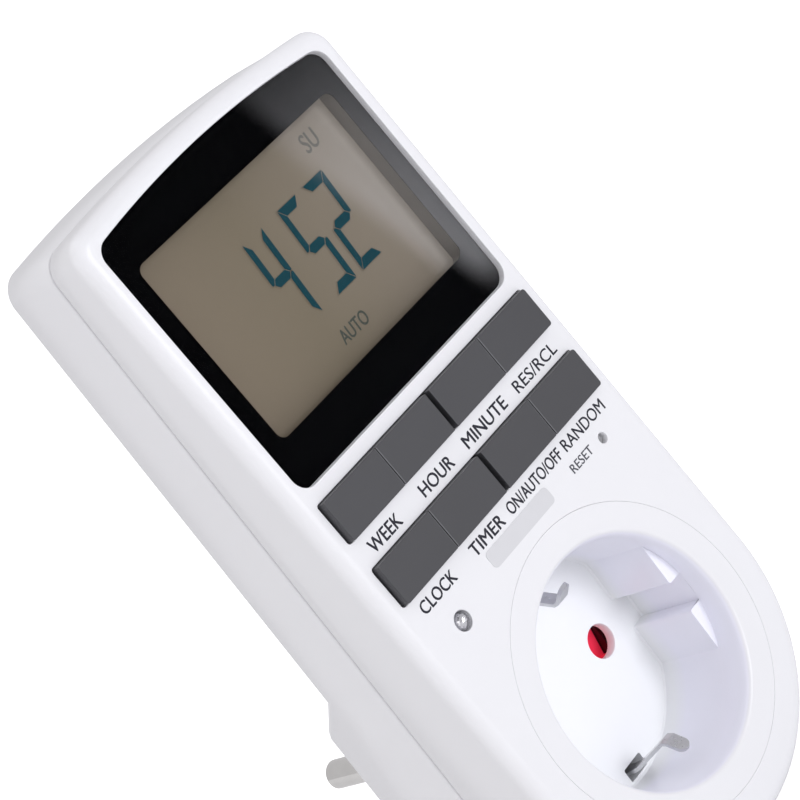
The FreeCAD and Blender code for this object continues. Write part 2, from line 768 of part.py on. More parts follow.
varistor = facet_rod(4.5, -4.2, -0.3, sides=20)
varistor = varistor.fuse(box(-2.9, -2.3, -1.0, 0, -0.3, 0.3)).fuse(box(2.3, 2.9, -1.0, 0, -0.3, 0.3))
save("varistor", moved(varistor, 11.6, power_front_y, 38.0))


def axial(radius, length, x, z, span):
    # a body lying along X with a bent lead at each end
    middle = power_front_y - radius - 0.3
    body = facet_rod(radius, -length / 2, length / 2, sides=10)
    body.rotate(vec(0, 0, 0), Z_AXIS, 90)
    body = moved(body, x, middle, z)
    for side in (-1, 1):
        reach = x + side * span / 2
        near, far = sorted((x + side * (length / 2 - 0.2), reach + side * 0.3))
        body = body.fuse(box(near, far, middle - 0.3, middle + 0.3, z - 0.3, z + 0.3))
        body = body.fuse(box(reach - 0.3, reach + 0.3, middle - 0.3, power_front_y, z - 0.3, z + 0.3))
    return body


save("fusible_resistor", axial(1.7, 9.0, 12.0, 60.5, 12.5))
diode_places = [(10.0, 46.6), (10.0, 50.0), (10.0, 53.4), (10.0, 56.4)]
save_group("rectifier_diodes", [axial(0.9, 4.2, x, z, 7.0) for x, z in diode_places])


# Ribbon between the boards: a flat cable bent down from one and in to the other
ribbon_start = lay(Part.Vertex(vec(0, board_back, 38.0))).Vertexes[0].Point
lean_y = math.cos(lean)
lean_z = -math.sin(lean)
ribbon_path = [
    (ribbon_start.y, ribbon_start.z),
    (ribbon_start.y + 1.6 * lean_y, ribbon_start.z + 1.6 * lean_z),
    (ribbon_start.y + 3.0, ribbon_start.z + 1.0),
    (power_front_y - 3.2, 43.6),
    (power_front_y - 1.8, 45.0),
    (power_front_y, 45.0),
]
save("ribbon_cable", band(ribbon_path, 0.9, 17.8, 23.8))


# Leads between the plug, the contacts and the power board
lead_radius = 0.8
shank_top = shank_radius * math.cos(math.pi / 12) + seat_gap
mouth_z = puck_radius - 8.0
step_y = lower_back_y - wall
inside_y = upper_back_y - wall
neutral_route = [
    (pin_x, pin_shank_end + 1.4, shank_top),
    (pin_x, pin_shank_end + 1.4, mouth_z - 3.9),
    (pin_x, -12.0, mouth_z - 0.8),
    (pin_x, step_y, mouth_z),
    (11.6, step_y - 3.4, 15.8),
    (12.9, inside_y - 1.5, 19.4),
    (13.2, inside_y - 4.5, 20.8),
    (13.4, inside_y - 7.1, 23.4),
    (13.4, inside_y - 6.5, 27.4),
    (13.4, power_front_y, 27.4),
]
save("lead_neutral", lead(neutral_route, lead_radius))
live_route = [
    (-pin_x, pin_shank_end + 1.4, shank_top),
    (-pin_x, pin_shank_end + 1.4, mouth_z - 3.9),
    (-pin_x, -12.0, mouth_z - 0.8),
    (-pin_x, step_y, mouth_z),
    (-12.2, step_y - 3.4, 15.4),
    (-14.4, inside_y - 1.5, 18.4),
    (-15.8, inside_y - 4.5, 19.8),
    (-16.6, inside_y - 7.1, 23.4),
    (-16.6, inside_y - 6.5, 27.4),
    (-16.6, power_front_y, 27.4),
]
save("lead_live", lead(live_route, lead_radius))
load_route = [
    (-pin_x, -11.6, tab_half + seat_gap),
    (-pin_x, -11.6, 2.6),
    (-6.6, -12.6, 5.4),
    (-6.2, -14.2, mouth_z - 1.4),
    (-6.0, step_y + 0.2, mouth_z + 1.2),
    (-8.6, step_y - 3.2, 17.2),
    (-10.4, inside_y - 1.5, 20.8),
    (-11.8, inside_y - 4.5, 21.8),
    (-12.8, inside_y - 7.1, 23.6),
    (-12.8, inside_y - 6.5, 27.4),
    (-12.8, power_front_y, 27.4),
]
save("lead_load", lead(load_route, lead_radius))
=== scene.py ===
import json
import math

import bmesh
import bpy
from mathutils import Matrix, Vector
from mathutils.geometry import tessellate_polygon


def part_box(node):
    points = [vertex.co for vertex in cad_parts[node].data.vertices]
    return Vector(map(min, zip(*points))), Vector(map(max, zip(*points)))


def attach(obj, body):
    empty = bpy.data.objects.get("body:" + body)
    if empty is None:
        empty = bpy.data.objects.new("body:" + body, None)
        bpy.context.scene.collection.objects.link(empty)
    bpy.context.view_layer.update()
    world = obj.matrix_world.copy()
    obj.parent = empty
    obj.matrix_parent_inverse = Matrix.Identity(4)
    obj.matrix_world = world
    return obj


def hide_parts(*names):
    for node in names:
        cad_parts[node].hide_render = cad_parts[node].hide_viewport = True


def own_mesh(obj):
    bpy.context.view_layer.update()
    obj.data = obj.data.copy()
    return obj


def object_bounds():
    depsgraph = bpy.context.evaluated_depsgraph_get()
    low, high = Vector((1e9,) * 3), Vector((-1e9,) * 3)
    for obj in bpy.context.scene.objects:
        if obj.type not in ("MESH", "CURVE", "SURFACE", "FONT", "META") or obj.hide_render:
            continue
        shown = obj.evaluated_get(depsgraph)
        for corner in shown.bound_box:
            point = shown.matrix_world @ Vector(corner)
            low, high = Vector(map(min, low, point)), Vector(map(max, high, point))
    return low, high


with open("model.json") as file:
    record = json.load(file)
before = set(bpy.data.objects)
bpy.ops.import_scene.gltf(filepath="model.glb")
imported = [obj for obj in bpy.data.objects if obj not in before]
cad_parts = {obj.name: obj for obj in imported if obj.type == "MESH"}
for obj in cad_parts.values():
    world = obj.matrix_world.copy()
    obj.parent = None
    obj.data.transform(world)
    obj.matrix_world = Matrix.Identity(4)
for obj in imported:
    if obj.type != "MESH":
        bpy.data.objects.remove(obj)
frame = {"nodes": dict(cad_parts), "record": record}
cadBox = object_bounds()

# Plug-in digital timer: the moulded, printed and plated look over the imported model.
# Sizes in the dictionaries are in mm unless a note says otherwise.
mm = 0.001
scene = bpy.context.scene
nodes = frame["nodes"]

housing = {
    "lean": 4.2,  # degrees that the front leans back
    "frontY": -50.0, "seamY": -35.0,
    "half": 30.0, "top": 101.9, "arch": 225.0, "corner": 4.0,
    "wall": 1.8, "frontWall": 2.2, "rim": 2.5,
    "edge": 0.14,  # small radius where the mould meets itself
    "lip": 0.3,  # share of such a radius at which its middle row lies
}
lean = math.radians(housing["lean"])


# Places and outlines

def onFront(x, depth, up):
    # a place on the leaning front: across, into the device, up the front
    y = housing["frontY"] + depth * math.cos(lean) + up * math.sin(lean)
    z = up * math.cos(lean) - depth * math.sin(lean)
    return Vector((x, y, z)) * mm


def place(x, y, z):
    return Vector((x, y, z)) * mm


def arc(cx, cy, radius, start, end, steps):
    turns = [start + (end - start) * k / steps for k in range(steps + 1)]
    return [(cx + radius * math.cos(t), cy + radius * math.sin(t)) for t in turns]


def archedPanel(half, bottom, top, arch, corner, footCorner=None):
    # outline with an arched top; the foot is half round, or square with small corners
    base = top - arch
    cx = half - corner
    cy = base + math.sqrt((arch - corner) ** 2 - cx ** 2)
    tilt = math.atan2(cy - base, cx)
    points = arc(cx, cy, corner, 0, tilt, 8)
    points += arc(0, base, arch, tilt, math.pi - tilt, 24)[1:]
    points += arc(-cx, cy, corner, math.pi - tilt, math.pi, 8)[1:]
    if footCorner is None:
        return points + arc(0, bottom, half, math.pi, 2 * math.pi, 72)
    inner = half - footCorner
    foot = bottom + footCorner
    points += arc(-inner, foot, footCorner, math.pi, 1.5 * math.pi, 8)
    return points + arc(inner, foot, footCorner, 1.5 * math.pi, 2 * math.pi, 8)


def roundedBox(bounds, corner, grow=0, steps=4):
    # bounds are left, right, foot and top; corner is one radius, or four from the upper right round
    x0, x1, s0, s1 = bounds
    corners = corner if isinstance(corner, list) else [corner] * 4
    middles = [(x1, s1, 1, 1), (x0, s1, -1, 1), (x0, s0, -1, -1), (x1, s0, 1, -1)]
    points = []
    for k, ((x, s, outX, outS), r) in enumerate(zip(middles, corners)):
        x, s = x + outX * (grow - r), s + outS * (grow - r)
        points += arc(x, s, r, k * math.pi / 2, (k + 1) * math.pi / 2, steps)
    return points


def circle(x, s, radius, steps=48):
    return arc(x, s, radius, 0, 2 * math.pi, steps)[:-1]


def housingOutline(inset):
    corner = max(housing["corner"] - inset, 1.0)
    return archedPanel(housing["half"] - inset, 0, housing["top"] - inset, housing["arch"] - inset, corner)


def rounding(radius, steps):
    # insets and depths along a quarter round, from its front
    turns = [math.pi / 2 * k / steps for k in range(steps + 1)]
    return [(radius * (1 - math.sin(t)), radius * (1 - math.cos(t))) for t in turns]


def lip(edge, depth):
    # insets and depths of a small rounded edge and of the wall behind it
    middle = edge * housing["lip"]
    return (edge, 0), (middle, middle), (0, edge), (0, depth)


def linked(name, data):
    thing = bpy.data.objects.new(name, data)
    scene.collection.objects.link(thing)
    return thing


def evaluated(thing):
    bpy.context.view_layer.update()
    return bpy.data.meshes.new_from_object(thing.evaluated_get(bpy.context.evaluated_depsgraph_get()))


def claim(piece, node=None, body="housing"):
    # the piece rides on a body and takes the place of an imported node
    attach(piece, body)
    if node:
        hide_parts(node)


class Moulding:
    # collects loops of points, the skirts between them and the flats that close them
    def __init__(self):
        self.mesh = bmesh.new()
        self.flats = set()
        self.inks = {}

    def loop(self, points):
        return [self.mesh.verts.new(p) for p in points]

    def front(self, outline, depth):
        # a loop at one depth under the leaning front
        return self.loop([onFront(x, depth, s) for x, s in outline])

    def level(self, outline, y):
        # a loop square to the plug pins
        return self.loop([place(x, y, z) for x, z in outline])

    def skirt(self, first, second, ink=0):
        for k in range(len(first)):
            n = (k + 1) % len(first)
            face = self.mesh.faces.new((first[k], first[n], second[n], second[k]))
            self.inks[face] = ink
        return second

    def stack(self, loops, ink=0):
        # skirts from loop to loop; gives the two end loops
        for first, second in zip(loops, loops[1:]):
            self.skirt(first, second, ink)
        return loops[0], loops[-1]

    def post(self, outline, near, far, ink=0):
        # straight walls between two depths under the front
        return self.stack([self.front(outline, depth) for depth in (near, far)], ink)

    def fill(self, *loops):
        corners = [v for loop in loops for v in loop]
        for a, b, c in tessellate_polygon([[v.co for v in loop] for loop in loops]):
            self.flats.add(self.mesh.faces.new((corners[a], corners[b], corners[c])))

    def cap(self, *loops):
        for loop in loops:
            self.flats.add(self.mesh.faces.new(loop))

    def finish(self, name, slot, node=None, materials=None, limit=50, body="housing"):
        bmesh.ops.recalc_face_normals(self.mesh, faces=self.mesh.faces)
        for face in self.mesh.faces:
            face.material_index = self.inks.get(face, 0)
        claim(moulded(self.mesh, name, materials or [finishes[slot]], self.flats, limit), node, body)


def moulded(mesh, name, materials, flats, limit=50):
    # flats keep their own direction, and every bend under the limit is shaded round
    mesh.normal_update()
    near = math.cos(math.radians(limit))
    directions = []
    for face in mesh.faces:
        face.smooth = True
        for corner in face.loops:
            if face in flats:
                directions.append(face.normal.copy())
                continue
            others = [f for f in corner.vert.link_faces if f.normal.dot(face.normal) > near]
            level = [f for f in others if f in flats]
            if level:
                directions.append(level[0].normal.copy())
                continue
            total = Vector()
            for f in others:
                turn = next(c for c in f.loops if c.vert == corner.vert).calc_angle()
                total += f.normal * turn
            directions.append(total.normalized() if total.length > 0 else face.normal.copy())
    data = bpy.data.meshes.new(name)
    mesh.to_mesh(data)
    mesh.free()
    data.normals_split_custom_set(directions)
    for material in materials:
        data.materials.append(material)
    return linked(name, data)


# Finishes

class Value:
    # a node's value that ordinary sums can use
    def __init__(self, owner, socket):
        self.owner = owner
        self.socket = socket

    def join(self, operation, other, swapped=False):
        pair = (other, self) if swapped else (self, other)
        return self.owner.add("ShaderNodeMath", {"operation": operation}, dict(enumerate(pair)))

    def __add__(self, other):
        return self.join("ADD", other)

    def __sub__(self, other):
        return self.join("SUBTRACT", other)

    def __rsub__(self, other):
        return self.join("SUBTRACT", other, True)

    def __mul__(self, other):
        return self.join("MULTIPLY", other)

    __radd__ = __add__
    __rmul__ = __mul__


class Nodes:
    # a node tree that is filled by add
    def __init__(self, group):
        self.group = group
        group.nodes.clear()

    def add(self, kind, settings=None, sockets=None, output=0):
        node = self.group.nodes.new(kind)
        for key, value in (settings or {}).items():
            if key == "stops":
                ramp = node.color_ramp
                while len(ramp.elements) < len(value):
                    ramp.elements.new(0.5)
                for element, (position, colour) in zip(ramp.elements, value):
                    element.position = position
                    element.color = (*colour, 1)
            else:
                setattr(node, key, value)
        for key, value in (sockets or {}).items():
            for one in value if isinstance(value, list) else [value]:
                if isinstance(one, Value):
                    self.group.links.new(one.socket, node.inputs[key])
                else:
                    node.inputs[key].default_value = one
        return Value(self, node.outputs[output]) if node.outputs else None


class Finish(Nodes):
    def __init__(self, name):
        self.material = bpy.data.materials.new(name)
        self.material.use_nodes = True
        super().__init__(self.material.node_tree)

    def places(self):
        return self.add("ShaderNodeTexCoord", output="Object")

    def along(self, axis):
        return self.add("ShaderNodeSeparateXYZ", {}, {"Vector": self.places()}, axis)

    def fade(self, value, start, end):
        # 0 at the start and 1 at the end, which are in mm
        return self.add("ShaderNodeMapRange", {"interpolation_type": "SMOOTHSTEP"}, {
            "Value": value, "From Min": start * mm, "From Max": end * mm})

    def grain(self, size, detail=2.0, roughness=0.5, vector=None):
        # size in mm
        return self.add("ShaderNodeTexNoise", {}, {
            "Vector": vector or self.places(), "Scale": 1000.0 / size,
            "Detail": detail, "Roughness": roughness})

    def blend(self, factor, first, second):
        return self.add("ShaderNodeMix", {"data_type": "RGBA"}, {0: factor, 6: first, 7: second}, 2)

    def bump(self, height, depth):
        # depth in mm
        return self.add("ShaderNodeBump", {}, {"Height": height, "Distance": depth * mm, "Strength": 1.0})

    def surface(self, sockets):
        return self.out(self.add("ShaderNodeBsdfPrincipled", {}, sockets))

    def out(self, shader):
        self.add("ShaderNodeOutputMaterial", {}, {"Surface": shader})
        return self.material


def rgba(colour):
    return (*colour, 1.0)


def tint(colour, share):
    return rgba([min(1.0, c * share) for c in colour])


def plastic(name, colour, rough, grainSize=0.16, grainDepth=0.004, mottle=0.03):
    # moulded plastic: a spark-eroded grain, with slight clouding of colour and gloss
    f = Finish(name)
    cloud = f.grain(14.0, 3.0)
    fine = f.grain(grainSize, 3.0, 0.6)
    return f.surface({
        "Base Color": f.blend(cloud, tint(colour, 1 - mottle), tint(colour, 1 + mottle)),
        "Roughness": rough + (cloud - 0.5) * 0.08 + (fine - 0.5) * 0.06,
        "Normal": f.bump(fine, grainDepth),
    })


def socketFinish(name, rough, shades):
    # glossy plastic with painted light and shade: paler towards the floor of the well, which lifts the shade
    # of the deep well, and bluish there, for the tint of that shade; each of the shades is a depth under the
    # leaning front, in mm, and its colour
    f = Finish(name)
    near, far = shades[0][0], shades[-1][0]
    across = (f.along("Y") - housing["frontY"] * mm) * math.cos(lean)
    depth = across - f.along("Z") * math.sin(lean)
    stops = [((at - near) / (far - near), colour) for at, colour in shades]
    share = (depth - near * mm) * (1 / ((far - near) * mm))
    fine = f.grain(0.3, 3.0, 0.6)
    return f.surface({
        "Base Color": f.add("ShaderNodeValToRGB", {"stops": stops}, {"Fac": share}),
        "Roughness": rough + (fine - 0.5) * 0.06,
        "Normal": f.bump(fine, 0.0005),
    })


def shutterFinish(name, colour, paintedGlow, full, end):
    # red on the slopes that the plug holes show; painted shade: dark towards the cheeks, where they stand in
    # shade; painted light: the red also glows, so that it looks lit deep in the chamber
    f = Finish(name)
    shown = f.fade(f.along("X").join("ABSOLUTE", 0.0), end, full)
    fine = f.grain(0.16, 3.0)
    return f.surface({
        "Base Color": f.blend(shown, tint(colour, 0.02), rgba(colour)),
        "Roughness": 0.35 + (fine - 0.5) * 0.06,
        "Normal": f.bump(fine, 0.003),
        # painted light: the red glows
        "Emission Color": f.blend(shown, rgba((0, 0, 0)), rgba(colour)),
        "Emission Strength": paintedGlow,
    })


def metal(name, colour, rough, along=(1, 1, 1), depth=0.002):
    # plated metal with fine drawn lines
    f = Finish(name)
    stretched = f.add("ShaderNodeMapping", {}, {"Vector": f.places(), "Scale": along})
    lines = f.grain(0.5, 4.0, 0.6, stretched)
    cloud = f.grain(3.0, 2.0)
    return f.surface({
        "Base Color": f.blend(cloud, tint(colour, 0.9), tint(colour, 1.06)),
        "Metallic": 1.0,
        "Roughness": rough + (lines - 0.5) * 0.22 + (cloud - 0.5) * 0.1,
        "Normal": f.bump(lines, depth),
    })


plastics = {  # slot: (name, colour, roughness, then grain size, grain depth and clouding where they differ)
    "housing_plastic": ("housingWhite", (0.765, 0.765, 0.785), 0.36, 0.22, 0.0035, 0.012),
    "key_plastic": ("keyGrey", (0.046, 0.046, 0.051), 0.42, 0.13, 0.006, 0.05),
    "switch_plastic": ("switchBlack", (0.02, 0.02, 0.022), 0.45),
    "holder_plastic": ("holderGrey", (0.62, 0.62, 0.60), 0.5),
    "strip_rubber": ("stripRubber", (0.16, 0.10, 0.10), 0.7),
    "blob_black": ("blobBlack", (0.012, 0.012, 0.012), 0.2),
    "ribbon_grey": ("ribbonGrey", (0.30, 0.30, 0.33), 0.45),
    "relay_black": ("relayBlack", (0.02, 0.02, 0.025), 0.35),
    "film_yellow": ("filmYellow", (0.72, 0.50, 0.07), 0.35),
    "can_blue": ("canSleeve", (0.03, 0.06, 0.25), 0.28),
    "varistor_blue": ("varistorBlue", (0.02, 0.12, 0.36), 0.4),
    "resistor_green": ("resistorGreen", (0.12, 0.33, 0.22), 0.5),
    "diode_black": ("diodeBlack", (0.015, 0.015, 0.015), 0.35),
    "carrier_grey": ("carrierGrey", (0.30, 0.30, 0.29), 0.55),
    "lead_brown": ("leadBrown", (0.17, 0.06, 0.025), 0.4),
    "lead_black": ("leadBlack", (0.015, 0.015, 0.015), 0.4),
    "lead_blue": ("leadBlue", (0.02, 0.10, 0.42), 0.4),
}
metals = {  # slot: (name, colour, roughness, stretch of the drawn lines, their depth where it differs)
    "screw_steel": ("zincSteel", (0.62, 0.62, 0.60), 0.32, (1, 0.12, 1)),
    "battery_steel": ("cellSteel", (0.58, 0.58, 0.59), 0.25, (0.1, 1, 1)),
    "spring_steel": ("springSteel", (0.50, 0.50, 0.52), 0.25, (1, 1, 0.2)),
    "contact_brass": ("contactBrass", (0.78, 0.57, 0.24), 0.3, (1, 0.1, 1)),
    "pin_nickel": ("pinNickel", (0.72, 0.71, 0.69), 0.16, (1, 0.06, 1), 0.0008),
    "earth_nickel": ("earthNickel", (0.60, 0.60, 0.61), 0.3, (1, 0.08, 1)),
}
finishes = {slot: plastic(*sizes) for slot, sizes in plastics.items()}
finishes.update({slot: metal(*sizes) for slot, sizes in metals.items()})


def boardFinish():
    # green mask with paler copper runs under it and tinned pads
    f = Finish("boardGreen")
    runs = f.add("ShaderNodeTexBrick", {}, {"Vector": f.places(), "Scale": 180.0, "Mortar Size": 0.035})
    mask = f.add("ShaderNodeSeparateColor", {}, {"Color": runs})
    fine = f.grain(0.8)
    green = f.blend(mask.join("MULTIPLY", 0.6), rgba((0.02, 0.15, 0.06)), rgba((0.05, 0.27, 0.11)))
    return f.surface({"Base Color": green, "Roughness": 0.32 + fine * 0.1, "Normal": f.bump(fine, 0.01)})


def displayFinish():
    # display glass: brown-grey reflector, with painted light: paler towards the right, against the shade of
    # the window's wall, and under the painted reflection of the lens
    f = Finish("displayGlass")
    across = f.along("X")
    share = across * (1 / (50 * mm)) + 0.5
    fine = f.grain(0.12, 3.0)
    ramp = f.add("ShaderNodeValToRGB", {"stops": [
        (0.0, (0.190, 0.157, 0.117)),
        (0.45, (0.170, 0.144, 0.104)),
        # painted light: the right end is paler
        (0.88, (0.200, 0.172, 0.137)),
        (0.96, (0.300, 0.268, 0.232)),
    ]}, {"Fac": share + (fine - 0.5) * 0.06})
    # painted light: a glow along the right edge, for the light that comes in through the clear sheet's right
    # edge
    edge = f.fade(across, 21.2, 24.8)
    return f.surface({
        "Base Color": withPaintedReflection(f, ramp, (0.318, 0.294, 0.268)),
        "Roughness": 0.3 + fine * 0.1,
        "Specular IOR Level": 0.05,
        "Normal": f.bump(fine, 0.002),
        "Emission Color": f.blend(edge, rgba((0, 0, 0)), rgba((0.112, 0.103, 0.093))),
        "Emission Strength": 1.0,
    })


def clearFinish(name, share, rough, colour=(1, 1, 1)):
    # clear sheet: straight through, with a mirror share on its outer side
    f = Finish(name)
    edge = f.add("ShaderNodeFresnel", {}, {"IOR": 1.49})
    behind = f.add("ShaderNodeNewGeometry", output="Backfacing")
    dust = f.grain(6.0, 3.0)
    through = f.add("ShaderNodeBsdfTransparent", {}, {"Color": rgba(colour)})
    mirror = f.add("ShaderNodeBsdfAnisotropic", {}, {"Color": (1, 1, 1, 1), "Roughness": rough})
    factor = edge * (1 - behind) * share * (0.9 + dust * 0.2)
    shader = f.add("ShaderNodeMixShader", {}, {0: factor, 1: through, 2: mirror})
    return f.out(shader)


# Painted reflection: the lens's pale mirror of the room, painted into the colours of the display and its
# border. It sets in along a slanting line, from start to full, and thins out upwards, from most to none, and
# downwards, from low to foot
paintedReflection = {"lean": 0.316, "start": 38.3, "full": 44.3, "none": 113.0, "most": 62.0, "foot": 51.0, "low": 59.5}


def withPaintedReflection(f, ink, pale):
    # painted reflection: lays the pale colour over the ink where the lens's mirror falls
    across, up = f.along("X"), f.along("Z")
    cover = f.fade(across + up * paintedReflection["lean"], paintedReflection["start"], paintedReflection["full"])
    cover = cover * f.fade(up, paintedReflection["none"], paintedReflection["most"]) * f.fade(up, paintedReflection["foot"], paintedReflection["low"])
    return f.blend(cover, ink, rgba(pale))


def inkFinish(name, colour, rough=0.4, alpha=1.0, gloss=0.3, pale=None):
    # screen print: a thin film with slightly uneven cover; with a pale colour, the painted reflection of the
    # lens lies over it
    f = Finish(name)
    cover = f.grain(0.25, 3.0)
    ink = f.blend(cover, tint(colour, 0.85), tint(colour, 1.2))
    sockets = {
        "Base Color": withPaintedReflection(f, ink, pale) if pale else ink,
        "Roughness": rough + (cover - 0.5) * 0.15,
        "Specular IOR Level": gloss,
    }
    if alpha < 1:
        sockets["Alpha"] = alpha
    return f.surface(sockets)


finishes.update({
    # painted light and shade: the socket's colour grows paler and bluer with depth in the well
    "socket_plastic": socketFinish("socketWhite", 0.34, [
        (-1.0, (0.765, 0.765, 0.785)), (0.12, (0.765, 0.765, 0.785)), (0.5, (0.84, 0.84, 0.92)),
        (3.5, (0.88, 0.88, 0.965)), (5.4, (0.89, 0.89, 0.97)), (13.5, (0.90, 0.90, 0.98)),
        (16.5, (0.91, 0.92, 0.93))]),
    "shutter_red": shutterFinish("shutterRed", (0.80, 0.035, 0.087), 0.3, 12.1, 12.36),
    "board_green": boardFinish(),
    "lcd_glass": displayFinish(),
    "led_clear": clearFinish("ledClear", 1.2, 0.1, (0.9, 0.9, 0.92)),
    "lens_plastic": clearFinish("lensClear", 0.03, 0.1),
})
# painted highlight: a paler grey for the edges between the keys of a pair
keyEdge = plastic("keyEdge", (0.14, 0.14, 0.15), 0.3)
# painted light: a paler grey for the key sides that face up the front
keySide = plastic("keySide", (0.095, 0.095, 0.10), 0.5)
ledMetal = metal("ledMetal", (0.80, 0.80, 0.80), 0.18)
# painted shade: grey for the shaded side of the status light's core
ledBase = plastic("ledBase", (0.15, 0.15, 0.16), 0.3)
labelInk = inkFinish("labelInk", (0.012, 0.012, 0.022))
labelGrey = inkFinish("labelGrey", (0.07, 0.07, 0.085))
# painted reflection: the border and the digits take the lens's pale mirror of the room in their colour
borderInk = inkFinish("borderInk", (0.0015, 0.0015, 0.0018), 0.5, 1.0, 0.0, (0.130, 0.130, 0.134))
segmentInk = inkFinish("segmentInk", (0.012, 0.048, 0.062), 0.5, 1.0, 0.0, (0.12, 0.15, 0.17))
faintInk = inkFinish("faintInk", (0.066, 0.074, 0.064), 0.5, 1.0, 0.0)
fainterInk = inkFinish("fainterInk", (0.155, 0.152, 0.140), 0.5, 1.0, 0.0)
shadowInk = inkFinish("shadowInk", (0.07, 0.07, 0.05), 0.6, 0.06, 0.0)
# painted shade: a dark grey for the window's wall, which lies in shade under the lens
windowShadeGrey = plastic("windowWall", (0.26, 0.25, 0.24), 0.5)
stickerFilm = plastic("stickerFilm", (0.62, 0.62, 0.64), 0.3, 0.5, 0.002, 0.02)
resetGrey = plastic("resetGrey", (0.29, 0.29, 0.30), 0.5)
print("finishes ready:", len(finishes))


# Camera as the photograph was taken, with the device turned in the picture
cameraSizes = {
    "place": (-263.503, -378.879, 144.267),
    "right": (0.54545, -0.59010, -0.59521),
    "down": (-0.58375, 0.24212, -0.77499),
    "forward": (0.60143, 0.77017, -0.21241),
    "lens": 137.899,
}


def makeCamera(sizes):
    data = bpy.data.cameras.new("photoCamera")
    data.lens = sizes["lens"]
    data.sensor_width = 36.0
    data.clip_start = 0.01
    data.clip_end = 50.0
    camera = linked("photoCamera", data)
    columns = [Vector(sizes["right"]), -Vector(sizes["down"]), -Vector(sizes["forward"])]
    turn = Matrix(columns).transposed()
    camera.matrix_world = Matrix.Translation(Vector(sizes["place"]) * mm) @ turn.to_4x4()
    scene.camera = camera


makeCamera(cameraSizes)

# Studio: a pale sweep under the device, soft even light and two panels
studio = {
    "floorSize": 14.0,  # metres
    "floorGap": 0.2,
    "floorGlow": 0.7,  # seen by the camera alone, so that the sweep stays white
    "sky": 0.66,
    "skyColour": (0.985, 0.975, 1.0),
    "backdrop": 1.05,  # what the camera sees behind the device
    "paper": ((0.90, 0.90, 0.91), (0.93, 0.93, 0.935)),
    "panels": [  # place and aim in metres, side lengths in metres, watts, colour
        ("keyPanel", (0.20, -1.45, 0.32), (0.0, -0.04, 0.04), (0.6, 0.6), 9.6, (0.955, 0.965, 1.0)),
        ("sidePanel", (-1.60, 0.15, 0.60), (0.0, -0.04, 0.04), (0.9, 0.9), 4.9, (1.0, 0.99, 0.985)),
        ("topPanel", (-0.30, 0.40, 1.40), (0.0, -0.04, 0.04), (0.9, 0.9), 3.0, (1.0, 0.995, 0.99)),
    ],
}


def makeStudio(sizes):
    side, z = sizes["floorSize"] / 2, cadBox[0].z - sizes["floorGap"] * mm
    data = bpy.data.meshes.new("floor")
    corners = [(-side, -side, z), (side, -side, z), (side, side, z), (-side, side, z)]
    data.from_pydata(corners, [], [(0, 1, 2, 3)])
    floor = linked("floor", data)
    f = Finish("floorPaper")  # a white that the camera sees a little brighter
    fine = f.grain(2.0)
    seen = f.add("ShaderNodeLightPath", output="Is Camera Ray")
    data.materials.append(f.surface({
        "Base Color": f.blend(fine, *map(rgba, sizes["paper"])),
        "Roughness": 0.9,
        "Specular IOR Level": 0.1,
        "Emission Color": rgba((1, 1, 1)),
        "Emission Strength": seen * sizes["floorGlow"],
    }))
    world = bpy.data.worlds.new("softLight")
    scene.world = world
    world.use_nodes = True
    w = Nodes(world.node_tree)
    sky = w.add("ShaderNodeBackground", {}, {"Color": rgba(sizes["skyColour"]), "Strength": sizes["sky"]})
    back = w.add("ShaderNodeBackground", {}, {"Color": rgba((1, 1, 1)), "Strength": sizes["backdrop"]})
    seen = w.add("ShaderNodeLightPath", output="Is Camera Ray")
    mixed = w.add("ShaderNodeMixShader", {}, {0: seen, 1: sky, 2: back})
    w.add("ShaderNodeOutputWorld", {}, {"Surface": mixed})
    for name, spot, aim, shape, watts, colour in sizes["panels"]:
        light = bpy.data.lights.new(name, "AREA")
        light.shape = "RECTANGLE"
        light.size, light.size_y = shape
        light.energy = watts
        light.color = colour
        panel = linked(name, light)
        panel.location = spot
        panel.rotation_mode = "QUATERNION"
        panel.rotation_quaternion = (Vector(aim) - Vector(spot)).to_track_quat("-Z", "Y")
    scene.view_settings.view_transform = "Standard"


makeStudio(studio)
print("camera and studio ready")

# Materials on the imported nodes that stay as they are
slotOf = {row["node"]: row["material_slot"] for row in frame["record"]["subparts"]}
for name, node in nodes.items():
    finish = finishes[slotOf[name]]
    if not node.data.materials:
        node.data.materials.append(finish)
    for k in range(len(node.data.materials)):
        node.data.materials[k] = finish
nodes["reset_button"].data.materials[0] = resetGrey

# Lens: a clear pane with a black border printed under it; the front shell's bed follows its outline
lens = {
    "half": 26.7, "bottom": 53.3, "top": 98.9, "arch": 179.0, "corner": 2.6, "round": 0.3,
    "paneBack": 1.1, "printFront": 1.12, "printBack": 1.19, "printInset": 0.02,
    "window": (-22.9, 23.6, 60.4, 91.4), "windowCorner": 1.5,
}


def lensOutline(grow):
    corner = lens["corner"] + grow
    return archedPanel(lens["half"] + grow, lens["bottom"] - grow, lens["top"] + grow, lens["arch"] + grow,
                       corner, corner)


def makeLens(sizes):
    pane = Moulding()
    loops = [pane.front(lensOutline(-inset), depth) for inset, depth in rounding(sizes["round"], 3)]
    for end in pane.stack(loops + [pane.front(lensOutline(0), sizes["paneBack"])]):
        pane.fill(end)
    pane.finish("lensPane", "lens_plastic", "display_lens")

    border = Moulding()
    hole = roundedBox(sizes["window"], sizes["windowCorner"], 0, 8)
    sides = [border.post(outline, sizes["printFront"], sizes["printBack"])
             for outline in (lensOutline(-sizes["printInset"]), hole)]
    for outer, inner in zip(*sides):
        border.fill(outer, inner)
    border.finish("lensBorder", "lens_plastic", None, [borderInk])


